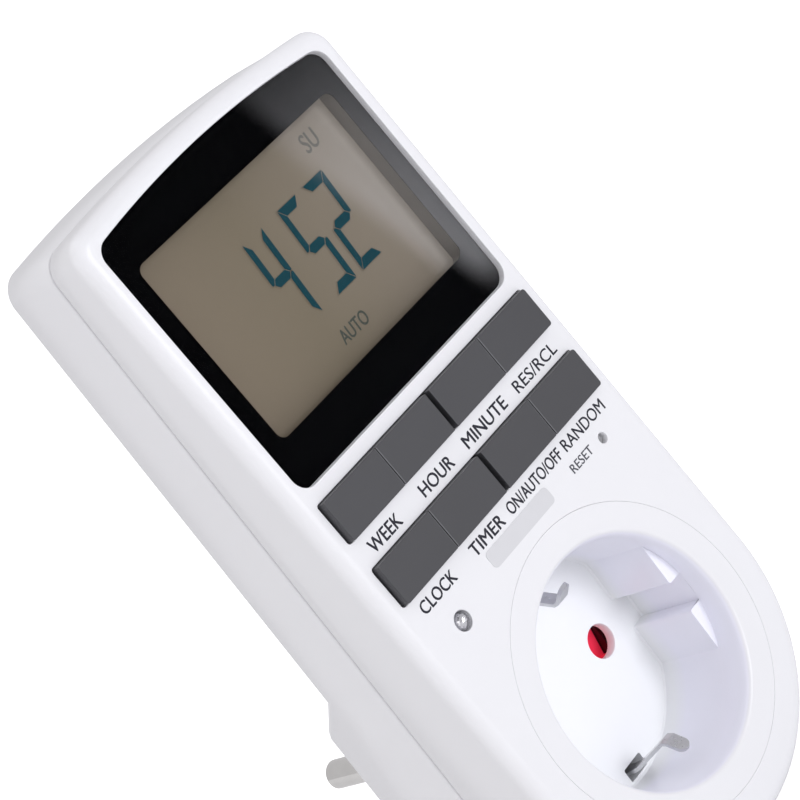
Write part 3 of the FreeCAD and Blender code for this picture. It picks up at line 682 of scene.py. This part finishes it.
# Front shell
frontShell = {
    "seamEdge": 0.28,
    "lensGap": 0.05, "lensBed": 1.2,
    "window": (-24.2, 24.2, 59.7, 92.1), "windowCorner": 1.0,
    "collarGrow": 0.9, "collarCorner": 1.6, "collarEnd": 4.6,
    "slots": [(-26.5, 26.5, 43.9, 51.0), (-26.5, 26.5, 32.25, 39.35)], "slotCorner": 0.5,
    # holes: place, then radius, outer radius of the boss and its end
    "led": (-20.1, 24.7), "ledHole": (1.55, 2.9, 3.6),
    "reset": (20.6, 26.55), "resetHole": (0.85, 2.0, 3.4),
    "ringHole": 23.94, "ringEdge": 0.04,
}


def makeFrontShell(sizes):
    body = Moulding()
    edge, wall, frontWall = sizes["seamEdge"], housing["wall"], housing["frontWall"]
    seam = housing["seamY"] - housing["frontY"]

    def seamLoop(inset, back):
        outline = housingOutline(inset)
        depths = [(seam - back - s * math.sin(lean)) / math.cos(lean) for x, s in outline]
        return body.loop([onFront(x, depth, s) for (x, s), depth in zip(outline, depths)])

    loops = [body.front(housingOutline(inset), depth) for inset, depth in rounding(housing["rim"], 8)]
    loops += [seamLoop(0, edge), seamLoop(edge, 0), seamLoop(wall, 0)]
    front, inner = body.stack(loops + [body.front(housingOutline(wall), frontWall)])
    brims, roots = [], []

    def opening(outline, depth, edge=housing["edge"]):
        # a rounded brim on the front, then straight in
        brim, end = body.stack([body.front(outline(grow), at) for grow, at in lip(edge, depth)])
        brims.append(brim)
        return end

    def boss(outline, hole, end):
        # closes a hole's far end against a raised collar on the inside
        root, tip = body.post(outline, frontWall, end)
        body.fill(tip, hole)
        roots.append(root)

    bed = opening(lambda g: lensOutline(g + sizes["lensGap"]), sizes["lensBed"])
    wallOutline = roundedBox(sizes["window"], sizes["windowCorner"])
    # the window's wall, ink 1, takes the painted shade
    window, end = body.post(wallOutline, sizes["lensBed"], sizes["collarEnd"], 1)
    body.fill(bed, window)
    boss(roundedBox(sizes["window"], sizes["collarCorner"], sizes["collarGrow"]), end, sizes["collarEnd"])
    for bounds in sizes["slots"]:
        roots.append(opening(lambda g: roundedBox(bounds, sizes["slotCorner"] + g, g), frontWall))
    for kind in ("led", "reset"):
        spot, (hole, outer, far) = sizes[kind], sizes[kind + "Hole"]
        boss(circle(*spot, outer, 32), opening(lambda g: circle(*spot, hole + g, 32), far), far)
    roots.append(opening(lambda g: circle(0, 0, sizes["ringHole"] + g, 128), frontWall, sizes["ringEdge"]))
    body.fill(front, *brims)
    body.fill(inner, *roots)
    body.finish("frontShell", "housing_plastic", "front_shell", [finishes["housing_plastic"], windowShadeGrey])


makeFrontShell(frontShell)
print("front shell ready")

# Rear shell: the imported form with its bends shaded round
rearShell = {
    "seam": -34.85, "seamRound": 0.28, "middle": 40.0, "strip": 1.8,
    # turns in degrees: faces joined to one flat, a bend, the seam's rim and a rounded edge
    "joined": 0.4, "bend": (0.5, 28), "sharp": 60, "chamfer": (40, 50),
}


def makeRearShell(sizes):
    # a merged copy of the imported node: its flat faces joined and its outer rim at the seam rounded
    mesh = bmesh.new()
    mesh.from_mesh(nodes["rear_shell"].data)
    bmesh.ops.remove_doubles(mesh, verts=mesh.verts, dist=1e-6)
    joined = math.radians(sizes["joined"])
    bmesh.ops.dissolve_limit(mesh, angle_limit=joined, verts=mesh.verts, edges=mesh.edges)
    mesh.normal_update()
    rim = []
    for e in mesh.edges:
        a, b = (v.co for v in e.verts)
        level = all(abs(c.y / mm - sizes["seam"]) < 0.01 for c in (a, b))
        away = Vector((a.x, 0, a.z - sizes["middle"] * mm))
        outer = any(abs(f.normal.y) < 0.1 and f.normal.dot(away) > 0 for f in e.link_faces)
        if level and outer and e.calc_face_angle(0.0) > math.radians(sizes["sharp"]):
            rim.append(e)
    bmesh.ops.bevel(mesh, geom=rim, offset=sizes["seamRound"] * mm, segments=2, affect="EDGES", profile=0.5)
    mesh.normal_update()
    flats = set()
    (least, most), (low, high) = sizes["bend"], sizes["chamfer"]
    for face in mesh.faces:
        turns = [math.degrees(e.calc_face_angle(0.0)) for e in face.edges if len(e.link_faces) == 2]
        # a narrow strip between two flats is a rounded edge, not a flat
        narrow = len(face.verts) == 4 and min(e.calc_length() for e in face.edges) < sizes["strip"] * mm
        rounded = narrow and sum(low < t < high for t in turns) >= 2
        if not rounded and not any(least < t < most for t in turns):
            flats.add(face)
    piece = moulded(mesh, "rearShell", [finishes["housing_plastic"]], flats)
    claim(piece, "rear_shell")


makeRearShell(rearShell)
print("rear shell ready")

# Socket cup: ring level with the leaning front, flared mouth, guide blocks and floor
socketCup = {
    "ring": 23.9, "ringEdge": 0.04, "well": 18.85,
    "rim": [(19.95, 0), (19.7, 0.03), (19.48, 0.12), (19.3, 0.3), (19.15, 0.55), (19.02, 0.9), (18.85, 1.8)],
    "floor": -32.5, "floorBack": -30.7, "end": -27.0, "tube": 21.1,
    "throat": 0.4, "blockTop": -45.6, "blockShare": 0.9997895, "blockRound": 0.5,
    "flatX": 16.0, "grooveX": 18.8, "grooveHalf": 2.6,
    "floorRound": 0.3, "floorShare": 0.985,
    "hole": 2.65, "holeX": 9.5, "holeRound": [(0.25, 0), (0.07, 0.07), (0, 0.25)],
    "clipHalf": 2.2, "clipNear": 15.9, "clipFar": 18.2, "clipCorner": 0.3,
    "chamber": (-13.5, 13.5, -10.8, 12.8), "chamberCorner": 0.6,
}


def makeSocketCup(sizes):
    body = Moulding()
    well, floor, end = sizes["well"], sizes["floor"], sizes["end"]

    def ring(radius):
        return circle(0, 0, radius, 144)

    loops = [body.front(ring(sizes["ring"] - inset), depth)
             for inset, depth in lip(sizes["ringEdge"], housing["frontWall"])]
    start = housing["frontY"] + housing["frontWall"] / math.cos(lean)
    loops.append(body.loop([place(x, start + z * math.tan(lean), z) for x, z in ring(sizes["tube"])]))
    brim, endRing = body.stack(loops + [body.level(ring(sizes["tube"]), end)])

    # the mouth's rim is level with the leaning front, and the wall under it stands square
    loops = [body.front(ring(radius), depth) for radius, depth in sizes["rim"]]
    body.fill(brim, loops[0])
    loops += [body.level(ring(well), sizes["blockTop"] - lift) for lift in (sizes["throat"], 0)]
    shelf = body.stack(loops)[1]

    # under the shelf line the well has flats with a groove in the middle of each
    flat, half, r = sizes["flatX"], sizes["grooveHalf"], sizes["blockRound"]
    tilt = math.acos(flat / well)
    side = arc(-flat - r, half + r, r, 0, -math.pi / 2, 4) + [(-sizes["grooveX"], half)]
    shape = arc(0, 0, well, tilt, math.pi - tilt, 48) + side + [(x, -z) for x, z in reversed(side)]
    shape += [(-x, -z) for x, z in shape]
    share = sizes["blockShare"]
    steps = ((share, sizes["blockTop"]), (share, floor - sizes["floorRound"]), (sizes["floorShare"], floor))
    blocks, rim = body.stack([
        body.level([(x * share, z * share) for x, z in shape], y) for share, y in steps])
    body.fill(shelf, blocks)
    holes, chamberHoles, endHoles = [], [], []
    for sign in (-1, 1):
        steps = [(grow, floor + depth) for grow, depth in sizes["holeRound"]] + [(0, sizes["floorBack"])]
        top, back = body.stack([
            body.level(circle(sign * sizes["holeX"], 0, sizes["hole"] + grow), y) for grow, y in steps])
        holes.append(top)
        chamberHoles.append(back)
        low, high = sorted((sign * sizes["clipNear"], sign * sizes["clipFar"]))
        slot = roundedBox((-sizes["clipHalf"], sizes["clipHalf"], low, high), sizes["clipCorner"])
        top, back = body.stack([body.level(slot, y) for y in (floor, end)])
        holes.append(top)
        endHoles.append(back)
    body.fill(rim, *holes)
    chamber = roundedBox(sizes["chamber"], sizes["chamberCorner"])
    ceiling, mouth = body.stack([body.level(chamber, y) for y in (sizes["floorBack"], end)])
    body.fill(ceiling, *chamberHoles)
    body.fill(endRing, mouth, *endHoles)
    body.finish("socketCup", "socket_plastic", "socket_cup", limit=30)


makeSocketCup(socketCup)
print("socket ready")

# Geometry Nodes: a tree takes its sizes as named inputs and ends in one plain mesh

class Tree(Nodes):
    def __init__(self, name, inputs):
        super().__init__(bpy.data.node_groups.new(name, "GeometryNodeTree"))
        face = self.group.interface
        face.new_socket("Geometry", in_out="INPUT", socket_type="NodeSocketGeometry")
        self.sizes = {}
        for label in inputs:
            socket = face.new_socket(label, in_out="INPUT", socket_type="NodeSocketFloat")
            self.sizes[label] = socket.identifier
        face.new_socket("Geometry", in_out="OUTPUT", socket_type="NodeSocketGeometry")
        given = self.group.nodes.new("NodeGroupInput").outputs
        self.spots = Value(self, given["Geometry"])
        self.given = [Value(self, given[label]) for label in inputs]

    def vector(self, **axes):
        return self.add("ShaderNodeCombineXYZ", {}, {axis.upper(): value for axis, value in axes.items()})

    def moved(self, geometry, **vectors):
        return self.add("GeometryNodeTransform", {}, {"Geometry": geometry, **vectors})

    def wound(self, radius, height, turns, wire, steps, wireSteps):
        # a round bar wound up into a coil
        run = self.add("GeometryNodeCurveSpiral", {}, {
            "Resolution": steps, "Rotations": turns, "Height": height,
            "Start Radius": radius, "End Radius": radius})
        profile = self.add("GeometryNodeCurvePrimitiveCircle", {}, {"Resolution": wireSteps, "Radius": wire})
        return self.add("GeometryNodeCurveToMesh", {}, {
            "Curve": run, "Profile Curve": profile, "Fill Caps": True})

    def finish(self, pieces, turn, material):
        joined = self.add("GeometryNodeJoinGeometry", {}, {"Geometry": pieces})
        turned = self.moved(joined, Rotation=(turn, 0, 0))
        spots = self.add("GeometryNodeInstanceOnPoints", {}, {"Points": self.spots, "Instance": turned})
        realized = self.add("GeometryNodeRealizeInstances", {}, {"Geometry": spots})
        coloured = self.add("GeometryNodeSetMaterial", {}, {"Geometry": realized, "Material": material})
        self.add("NodeGroupOutput", {}, {"Geometry": coloured})


def grown(name, tree, spots, sizes):
    # runs a tree on bare points and keeps its result as the piece's own mesh; sizes are in mm, in
    # the order of the tree's inputs
    data = bpy.data.meshes.new(name + "Spots")
    data.from_pydata([tuple(spot) for spot in spots], [], [])
    piece = linked(name, data)
    modifier = piece.modifiers.new(name, "NODES")
    modifier.node_group = tree.group
    for (label, identifier), size in zip(tree.sizes.items(), sizes):
        modifier[identifier] = float(size) if label == "Turns" else size * mm
    result = evaluated(piece)
    piece.modifiers.clear()
    piece.data = result
    bpy.data.meshes.remove(data)
    return piece


screwForm = {  # shares of the head's radius and height, then of the shank's radius and length
    "crown": 0.8, "recessLong": 1.1, "recessShort": 0.24, "recessHeight": 1.2,
    "core": 0.78, "thread": 0.8, "threadWire": 0.19, "threadStart": 0.03, "threadLength": 0.94,
}


def screwTree(name, turn, material, form):
    # pan head with a cross recess over a threaded shank; the head points up before the turn
    tree = Tree(name, ["Head Radius", "Head Height", "Shank Radius", "Shank Length", "Turns"])
    radius, height, shankRadius, length, turns = tree.given
    head = tree.add("GeometryNodeMeshCone", {}, {
        "Vertices": 28, "Radius Top": radius * form["crown"], "Radius Bottom": radius, "Depth": height})
    slots = []
    long, short = form["recessLong"], form["recessShort"]
    for x, y in ((long, short), (short, long)):
        size = tree.vector(x=radius * x, y=radius * y, z=height * form["recessHeight"])
        bar = tree.add("GeometryNodeMeshCube", {}, {"Size": size})
        slots.append(tree.moved(bar, Translation=tree.vector(z=height)))
    cut = tree.add("GeometryNodeMeshBoolean", {"operation": "DIFFERENCE"}, {"Mesh 1": head, "Mesh 2": slots})
    core = tree.add("GeometryNodeMeshCylinder", {}, {
        "Vertices": 20, "Radius": shankRadius * form["core"], "Depth": length})
    shank = tree.moved(core, Translation=tree.vector(z=length * -0.5))
    thread = tree.wound(shankRadius * form["thread"], length * -form["threadLength"], turns,
                        shankRadius * form["threadWire"], 16, 4)
    lowered = tree.moved(thread, Translation=tree.vector(z=length * -form["threadStart"]))
    tree.finish([cut, shank, lowered], turn, material)
    return tree


screws = {  # node: turn about the width, then head radius and height, shank radius and length, thread turns
    "housing_screws": (-math.pi / 2, 2.9, 2.2, 1.5, 8.5, 8),
    "power_board_screws": (math.pi / 2, 1.75, 1.3, 1.0, 3.6, 5),
    "display_board_screws": (-math.pi / 2 - lean, 1.75, 1.3, 1.0, 4.6, 6),
}
screwSeats = {  # the places of the heads' seats
    "housing_screws": [place(0, -31.4, 96.47), place(-23.8, -31.4, 18.6), place(23.8, -31.4, 18.6)],
    "power_board_screws": [place(x, -27.3, z) for x in (-22.5, 22.5) for z in (27.6, 62.0)],
    "display_board_screws": [
        onFront(x, 9.4, s) for x, s in ((-24.5, 53.9), (24.5, 53.9), (-25.4, 28.9), (25.4, 28.9))],
}
for node, (turn, *sizes) in screws.items():
    name = node.split("_")[0] + "Screws"
    tree = screwTree(name, turn, finishes[slotOf[node]], screwForm)
    claim(grown(name, tree, screwSeats[node], sizes), node)
print("screws ready")

# Shutter spring: an open coil, built at rest; in the timer the shutter closes it up as it slides
shutterSpring = {
    "foot": (0.0, -28.85, -5.0), "radius": 1.4, "wire": 0.2, "turns": 9, "length": 17.6, "travel": 6.3,
}


def makeShutterSpring(sizes):
    tree = Tree("coilSpring", ["Radius", "Wire Radius", "Length", "Turns"])
    radius, wire, length, turns = tree.given
    tree.finish([tree.wound(radius, length, turns, wire, 24, 8)], 0.0, finishes["spring_steel"])
    x, y, z = sizes["foot"]
    piece = grown("shutterCoil", tree, [place(x, y, z + sizes["wire"])], [
        sizes["radius"], sizes["wire"], sizes["length"] - 2 * sizes["wire"], sizes["turns"]])
    claim(piece, "shutter_spring")
    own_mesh(piece)


makeShutterSpring(shutterSpring)
print("spring ready")

# Earth clips: sprung strips with a rounded tip, one above the plug pins and one below
earthClips = {
    "across": -0.3, "half": 1.2, "thick": 0.6,
    "path": [(-45.9, 15.6), (-43.5, 13.6), (-42.6, 13.4), (-34.5, 16.6), (-32.0, 17.1), (-24.65, 17.1)],
    "tipRound": 1.2, "tipMost": 0.9, "tipLeast": 0.12,
}


def makeEarthClips(sizes):
    path = [Vector((y, z)) for y, z in sizes["path"]]
    near, far = [], []  # the side of the strip that faces the pins, and its other side
    for k, spot in enumerate(path):
        ahead = (path[min(k + 1, len(path) - 1)] - path[max(k - 1, 0)]).normalized()
        side = Vector((ahead.y, -ahead.x)) * sizes["thick"] / 2
        near.append(spot + side)
        far.append(spot - side)
    rows = []
    for inset, ahead in rounding(1.0, 6):
        # the rounded tip: rows grow from a narrow end to the full width
        reach = min(sizes["tipRound"] * ahead / (path[1] - path[0]).length, sizes["tipMost"])
        share = max(1 - inset, sizes["tipLeast"])
        rows.append((near[0].lerp(near[1], reach), far[0].lerp(far[1], reach), share))
    rows += [(inner, outer, 1.0) for inner, outer in zip(near[1:], far[1:])]
    body = Moulding()
    for sign in (1, -1):
        loops = []
        for inner, outer, share in rows:
            left, right = (sizes["across"] + side * sizes["half"] * share for side in (-1, 1))
            corners = [(left, inner), (right, inner), (right, outer), (left, outer)]
            loops.append(body.loop([place(x, p.x, sign * p.y) for x, p in corners]))
        body.cap(*body.stack(loops))
    body.finish("earthClips", "earth_nickel", "earth_clips", limit=20)


makeEarthClips(earthClips)
print("earth clips ready")

# Keys
keys = {
    "proud": 1.2, "round": 0.13, "gap": 0.15, "endCorner": 0.45, "innerCorner": 0.12, "leastCorner": 0.05,
    "flangeFront": 2.25, "flangeBack": 3.15, "flangeReach": 0.8, "flangeGrow": 0.02, "flangeCorner": 0.2,
    "stem": 1.3, "stemEnd": 3.68,
    # painted light: the sides that face far enough up the front take the paler grey
    "upwardShare": 0.6,  # how far a side has to face up the front to take its light
}
keyOrder = [["week", "hour", "minute", "clear"], ["clock", "schedule", "mode", "random"]]


def makeKey(name, bounds, corners, pairedX, sizes):
    x0, x1, s0, s1 = bounds
    middleX, middleS = (x0 + x1) / 2, (s0 + s1) / 2
    body = Moulding()
    loops = []
    for inset, depth in rounding(sizes["round"], 4):
        rounds = [max(c - inset, sizes["leastCorner"]) for c in corners]
        loops.append(body.front(roundedBox(bounds, rounds, -inset), depth - sizes["proud"]))
    top, brow = body.stack(loops)
    body.cap(top)

    # painted highlight: the edge towards the other key of the pair is paler, as if it caught the light
    for face in body.mesh.faces:
        if abs(face.calc_center_median().x / mm - pairedX) < sizes["round"] and face not in body.flats:
            body.inks[face] = 1

    # painted light: the side towards the display is paler, for the light of the white slot
    foot = body.skirt(brow, body.front(roundedBox(bounds, corners), sizes["flangeFront"]))
    upward = (onFront(0, 0, 1) - onFront(0, 0, 0)).normalized()
    middle = onFront(0, 0, middleS).z
    for face in body.mesh.faces:
        face.normal_update()
        facing = abs(face.normal.dot(upward)) > sizes["upwardShare"]
        if facing and face.calc_center_median().z > middle and face not in body.flats:
            body.inks[face] = 2

    grow, reach = sizes["flangeGrow"], sizes["flangeReach"] + sizes["gap"]
    flange = roundedBox((x0 - grow, x1 + grow, s0 - reach, s1 + reach), sizes["flangeCorner"])
    top, under = body.post(flange, sizes["flangeFront"], sizes["flangeBack"])
    body.fill(top, foot)
    square = roundedBox((middleX, middleX, middleS, middleS), sizes["flangeCorner"], sizes["stem"])
    root, end = body.post(square, sizes["flangeBack"], sizes["stemEnd"])
    body.fill(under, root)
    body.cap(end)
    materials = [finishes["key_plastic"], keyEdge, keySide]
    body.finish(name + "Key", "key_plastic", "key_" + name, materials, body=name + "_key")


for row, slot in zip(keyOrder, frontShell["slots"]):
    for column, name in enumerate(row):
        low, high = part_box("key_" + name)
        bounds = (low.x / mm, high.x / mm, slot[2] + keys["gap"], slot[3] - keys["gap"])
        left, right = (keys["endCorner" if column == end else "innerCorner"] for end in (0, 3))
        makeKey(name, bounds, [right, left, left, right], bounds[0 if column % 2 else 1], keys)
print("keys ready")

# Status light: a clear dome over a cut core that is silvery on one side and painted grey on the other, for
# the shade inside the light
statusLight = {
    "radius": 1.46, "dome": -0.8, "domeTurns": (6, 18, 32, 46, 60, 75, 90),  # degrees
    "flangeAt": 4.2, "flange": 1.8, "end": 5.2,
    "legs": 0.9, "leg": 0.25, "legCorner": 0.04, "legStart": 5.15, "legEnd": 8.2,
    "core": [(0.22, -0.62), (0.62, -0.50), (0.98, -0.22), (1.22, 0.15), (1.30, 0.6), (1.30, 5.1)],
    "coreCorners": 22, "coreDraw": 0.86, "silverSide": (-0.8, 0.6), "silverFrom": -0.12,
}


def makeStatusLight(sizes):
    cx, cs = frontShell["led"]
    radius, top = sizes["radius"], sizes["dome"]
    turns = [math.radians(t) for t in sizes["domeTurns"]]
    profile = [(radius * math.sin(t), top + radius * (1 - math.cos(t))) for t in turns]
    flange, start = sizes["flange"], sizes["flangeAt"]
    profile += [(radius, start), (flange, start), (flange, sizes["end"])]
    dome = Moulding()
    dome.cap(*dome.stack([dome.front(circle(cx, cs, r, 40), depth) for r, depth in profile]))
    dome.finish("ledDome", "led_clear", "status_led", limit=40)

    core = Moulding()
    loops = []
    for k, (r, depth) in enumerate(sizes["core"]):
        outline = []
        for j, (x, s) in enumerate(circle(0, 0, r, sizes["coreCorners"])):
            # every second corner is drawn in, which cuts the star of facets
            share = sizes["coreDraw"] if 0 < k < 4 and (j + k) % 2 else 1
            outline.append((cx + x * share, cs + s * share))
        loops.append(core.front(outline, depth))
    core.cap(*core.stack(loops))
    # painted shade: the core's faces away from the silvery side take a grey
    x, s = sizes["silverSide"]
    side = (onFront(x, 0, s) - onFront(0, 0, 0)).normalized()
    for face in core.mesh.faces:
        away = (face.calc_center_median() - onFront(cx, 0, cs)).dot(side)
        core.inks[face] = 0 if away > sizes["silverFrom"] * mm else 1
    core.finish("ledCore", "led_clear", None, [ledMetal, ledBase], 8)

    legs = Moulding()
    for side in (-1, 1):
        x = cx + side * sizes["legs"]
        square = roundedBox((x, x, cs, cs), sizes["legCorner"], sizes["leg"], 1)
        legs.cap(*legs.post(square, sizes["legStart"], sizes["legEnd"]))
    legs.finish("ledLegs", "led_clear", None, [finishes["pin_nickel"]], 20)


makeStatusLight(statusLight)
print("status light ready")

makeLens(lens)
print("lens ready")


# Print: thin films laid on a face of the device

def film(name, outlines, depth, thickness, material, slot):
    # outlines are lists of (x, up) points on the leaning front
    sheet = Moulding()
    for outline in outlines:
        for side in sheet.post(outline, depth, depth + thickness):
            sheet.fill(side)
    sheet.finish(name, slot, None, [material], 20)


letterSizes = {"thick": 0.015, "layer": 0.001, "boldUp": 0.5}


def letters(name, text, left, right, bottom, height, depth, material, bold=0.0, shear=0.0):
    # a word set between two places; its capitals have the given height, and bold thickens its
    # strokes by laying it twice, that far to each side
    curve = bpy.data.curves.new(name, "FONT")
    curve.body = text
    curve.resolution_u = 4
    temporary = linked(name + "Curve", curve)
    data = evaluated(temporary)
    bpy.data.objects.remove(temporary)
    xs = [v.co.x for v in data.vertices]
    ys = [v.co.y for v in data.vertices]
    wide = (right - left) / (max(xs) - min(xs))
    tall = height / (max(ys) - min(ys))
    mesh = bmesh.new()
    for k, side in enumerate((-bold, bold) if bold else (0.0,)):
        flat = bmesh.new()
        flat.from_mesh(data)
        bmesh.ops.remove_doubles(flat, verts=flat.verts, dist=1e-6)
        thick = letterSizes["thick"] + letterSizes["layer"] * k
        for v in flat.verts:
            up = (v.co.y - min(ys)) * tall
            across = left + side + (v.co.x - min(xs)) * wide + up * shear
            v.co = onFront(across, depth, bottom + up + side * letterSizes["boldUp"])
        lifted = bmesh.ops.extrude_face_region(flat, geom=flat.faces[:])
        step = onFront(0, -thick, 0) - onFront(0, 0, 0)
        raised = [g for g in lifted["geom"] if isinstance(g, bmesh.types.BMVert)]
        bmesh.ops.translate(flat, verts=raised, vec=step)
        bmesh.ops.recalc_face_normals(flat, faces=flat.faces)
        layer = bpy.data.meshes.new(name + "Layer")
        flat.to_mesh(layer)
        flat.free()
        mesh.from_mesh(layer)
        bpy.data.meshes.remove(layer)
    data.clear_geometry()
    mesh.to_mesh(data)
    mesh.free()
    data.materials.clear()
    data.materials.append(material)
    claim(linked(name, data))


printLift = 0.004
labels = {  # name: (word, left, right, foot, height, half of the added stroke)
    "wordWeek": ("WEEK", -24.2, -17.0, 40.4, 2.0, 0.055),
    "wordHour": ("HOUR", -11.3, -3.5, 40.4, 2.0, 0.055),
    "wordMinute": ("MINUTE", 0.1, 10.8, 40.4, 2.0, 0.055),
    "wordClear": ("RES/RCL", 13.7, 24.6, 40.4, 1.9, 0.03),
    "wordClock": ("CLOCK", -24.4, -16.1, 29.2, 1.9, 0.055),
    "wordTimer": ("TIMER", -11.4, -3.3, 29.2, 1.9, 0.055),
    "wordMode": ("ON/AUTO/OFF", -1.6, 12.5, 29.2, 1.9, 0.045),
    "wordRandom": ("RANDOM", 13.6, 24.7, 29.2, 1.9, 0.03),
    "wordReset": ("RESET", 12.1, 17.6, 26.2, 1.4, 0.03),
}
for name, (word, left, right, foot, height, bold) in labels.items():
    ink = labelGrey if word == "RESET" else labelInk
    letters(name, word, left, right, foot, height, -printLift, ink, bold)

sticker = {"box": (-10.0, 6.3, 25.8, 28.6), "corner": 0.8, "thickness": 0.06}
film("sticker", [roundedBox(sticker["box"], sticker["corner"], 0, 8)], -sticker["thickness"],
     sticker["thickness"] - printLift, stickerFilm, "housing_plastic")

# Display: three digits of seven segments, with their soft shadow on the reflector
digits = {
    "foot": 68.7, "middle": 76.0, "top": 83.4, "slant": 0.075,
    "upright": 1.05, "level": 1.45, "gap": 0.1, "taper": 1.5, "point": 0.4, "midGap": 1.5,
    "columns": [(-4.5, 0.15, "bcfg"), (4.15, 8.8, "acdfg"), (10.5, 15.35, "abdeg")],
    "depth": 4.56, "thick": 0.02, "wordDepth": 4.58,
    "shadow": (-0.25, 0.0), "shadowGrow": 0.3, "shadowDepth": 4.59, "shadowThick": 0.001,
}


def digitOutlines(sizes, grow=0.0, shift=(0, 0)):
    # each segment is longer on its outer side, and the upright ones run out to a point
    low, mid, high = sizes["foot"], sizes["middle"], sizes["top"]
    gap = sizes["gap"] - grow / 2
    wide, thick = sizes["upright"] + grow, sizes["level"] + grow
    half, point = thick / 2, wide * sizes["point"]
    outlines = []
    for left, right, lit in sizes["columns"]:
        left, right = left - grow / 2, right + grow / 2
        west, east = left + gap, right - gap
        for key in lit:
            if key in "ad":
                edge, inward = (high + grow / 2, -1) if key == "a" else (low - grow / 2, 1)
                inner = edge + inward * thick
                bar = [(west, edge), (east, edge), (east - wide, inner), (west + wide, inner)]
            elif key == "g":
                bar = [(west + point, mid), (west + wide, mid - half), (east - wide, mid - half),
                       (east - point, mid), (east - wide, mid + half), (west + wide, mid + half)]
            else:
                side, inward = (left, 1) if key in "ef" else (right, -1)
                end, toMid = (high, -1) if key in "bf" else (low, 1)
                inner = side + inward * wide
                bar = [(side, end + toMid * gap), (side, mid - toMid * gap * sizes["midGap"]),
                       (side + inward * point, mid - toMid * gap),
                       (inner, mid - toMid * (half + gap)), (inner, end + toMid * sizes["taper"])]
            outlines.append([(x + (s - mid) * sizes["slant"] + shift[0], s + shift[1]) for x, s in bar])
    return outlines


film("displayDigits", digitOutlines(digits), digits["depth"], digits["thick"], segmentInk, "lcd_glass")
film("displayShadow", digitOutlines(digits, digits["shadowGrow"], digits["shadow"]),
     digits["shadowDepth"], digits["shadowThick"], shadowInk, "lcd_glass")
letters("displayDay", "SU", 16.0, 19.2, 86.2, 2.9, digits["wordDepth"], fainterInk, 0.05, 0.06)
letters("displayState", "AUTO", -1.2, 5.1, 62.8, 2.2, digits["wordDepth"], faintInk, 0.045, 0.06)
print("print and display ready")
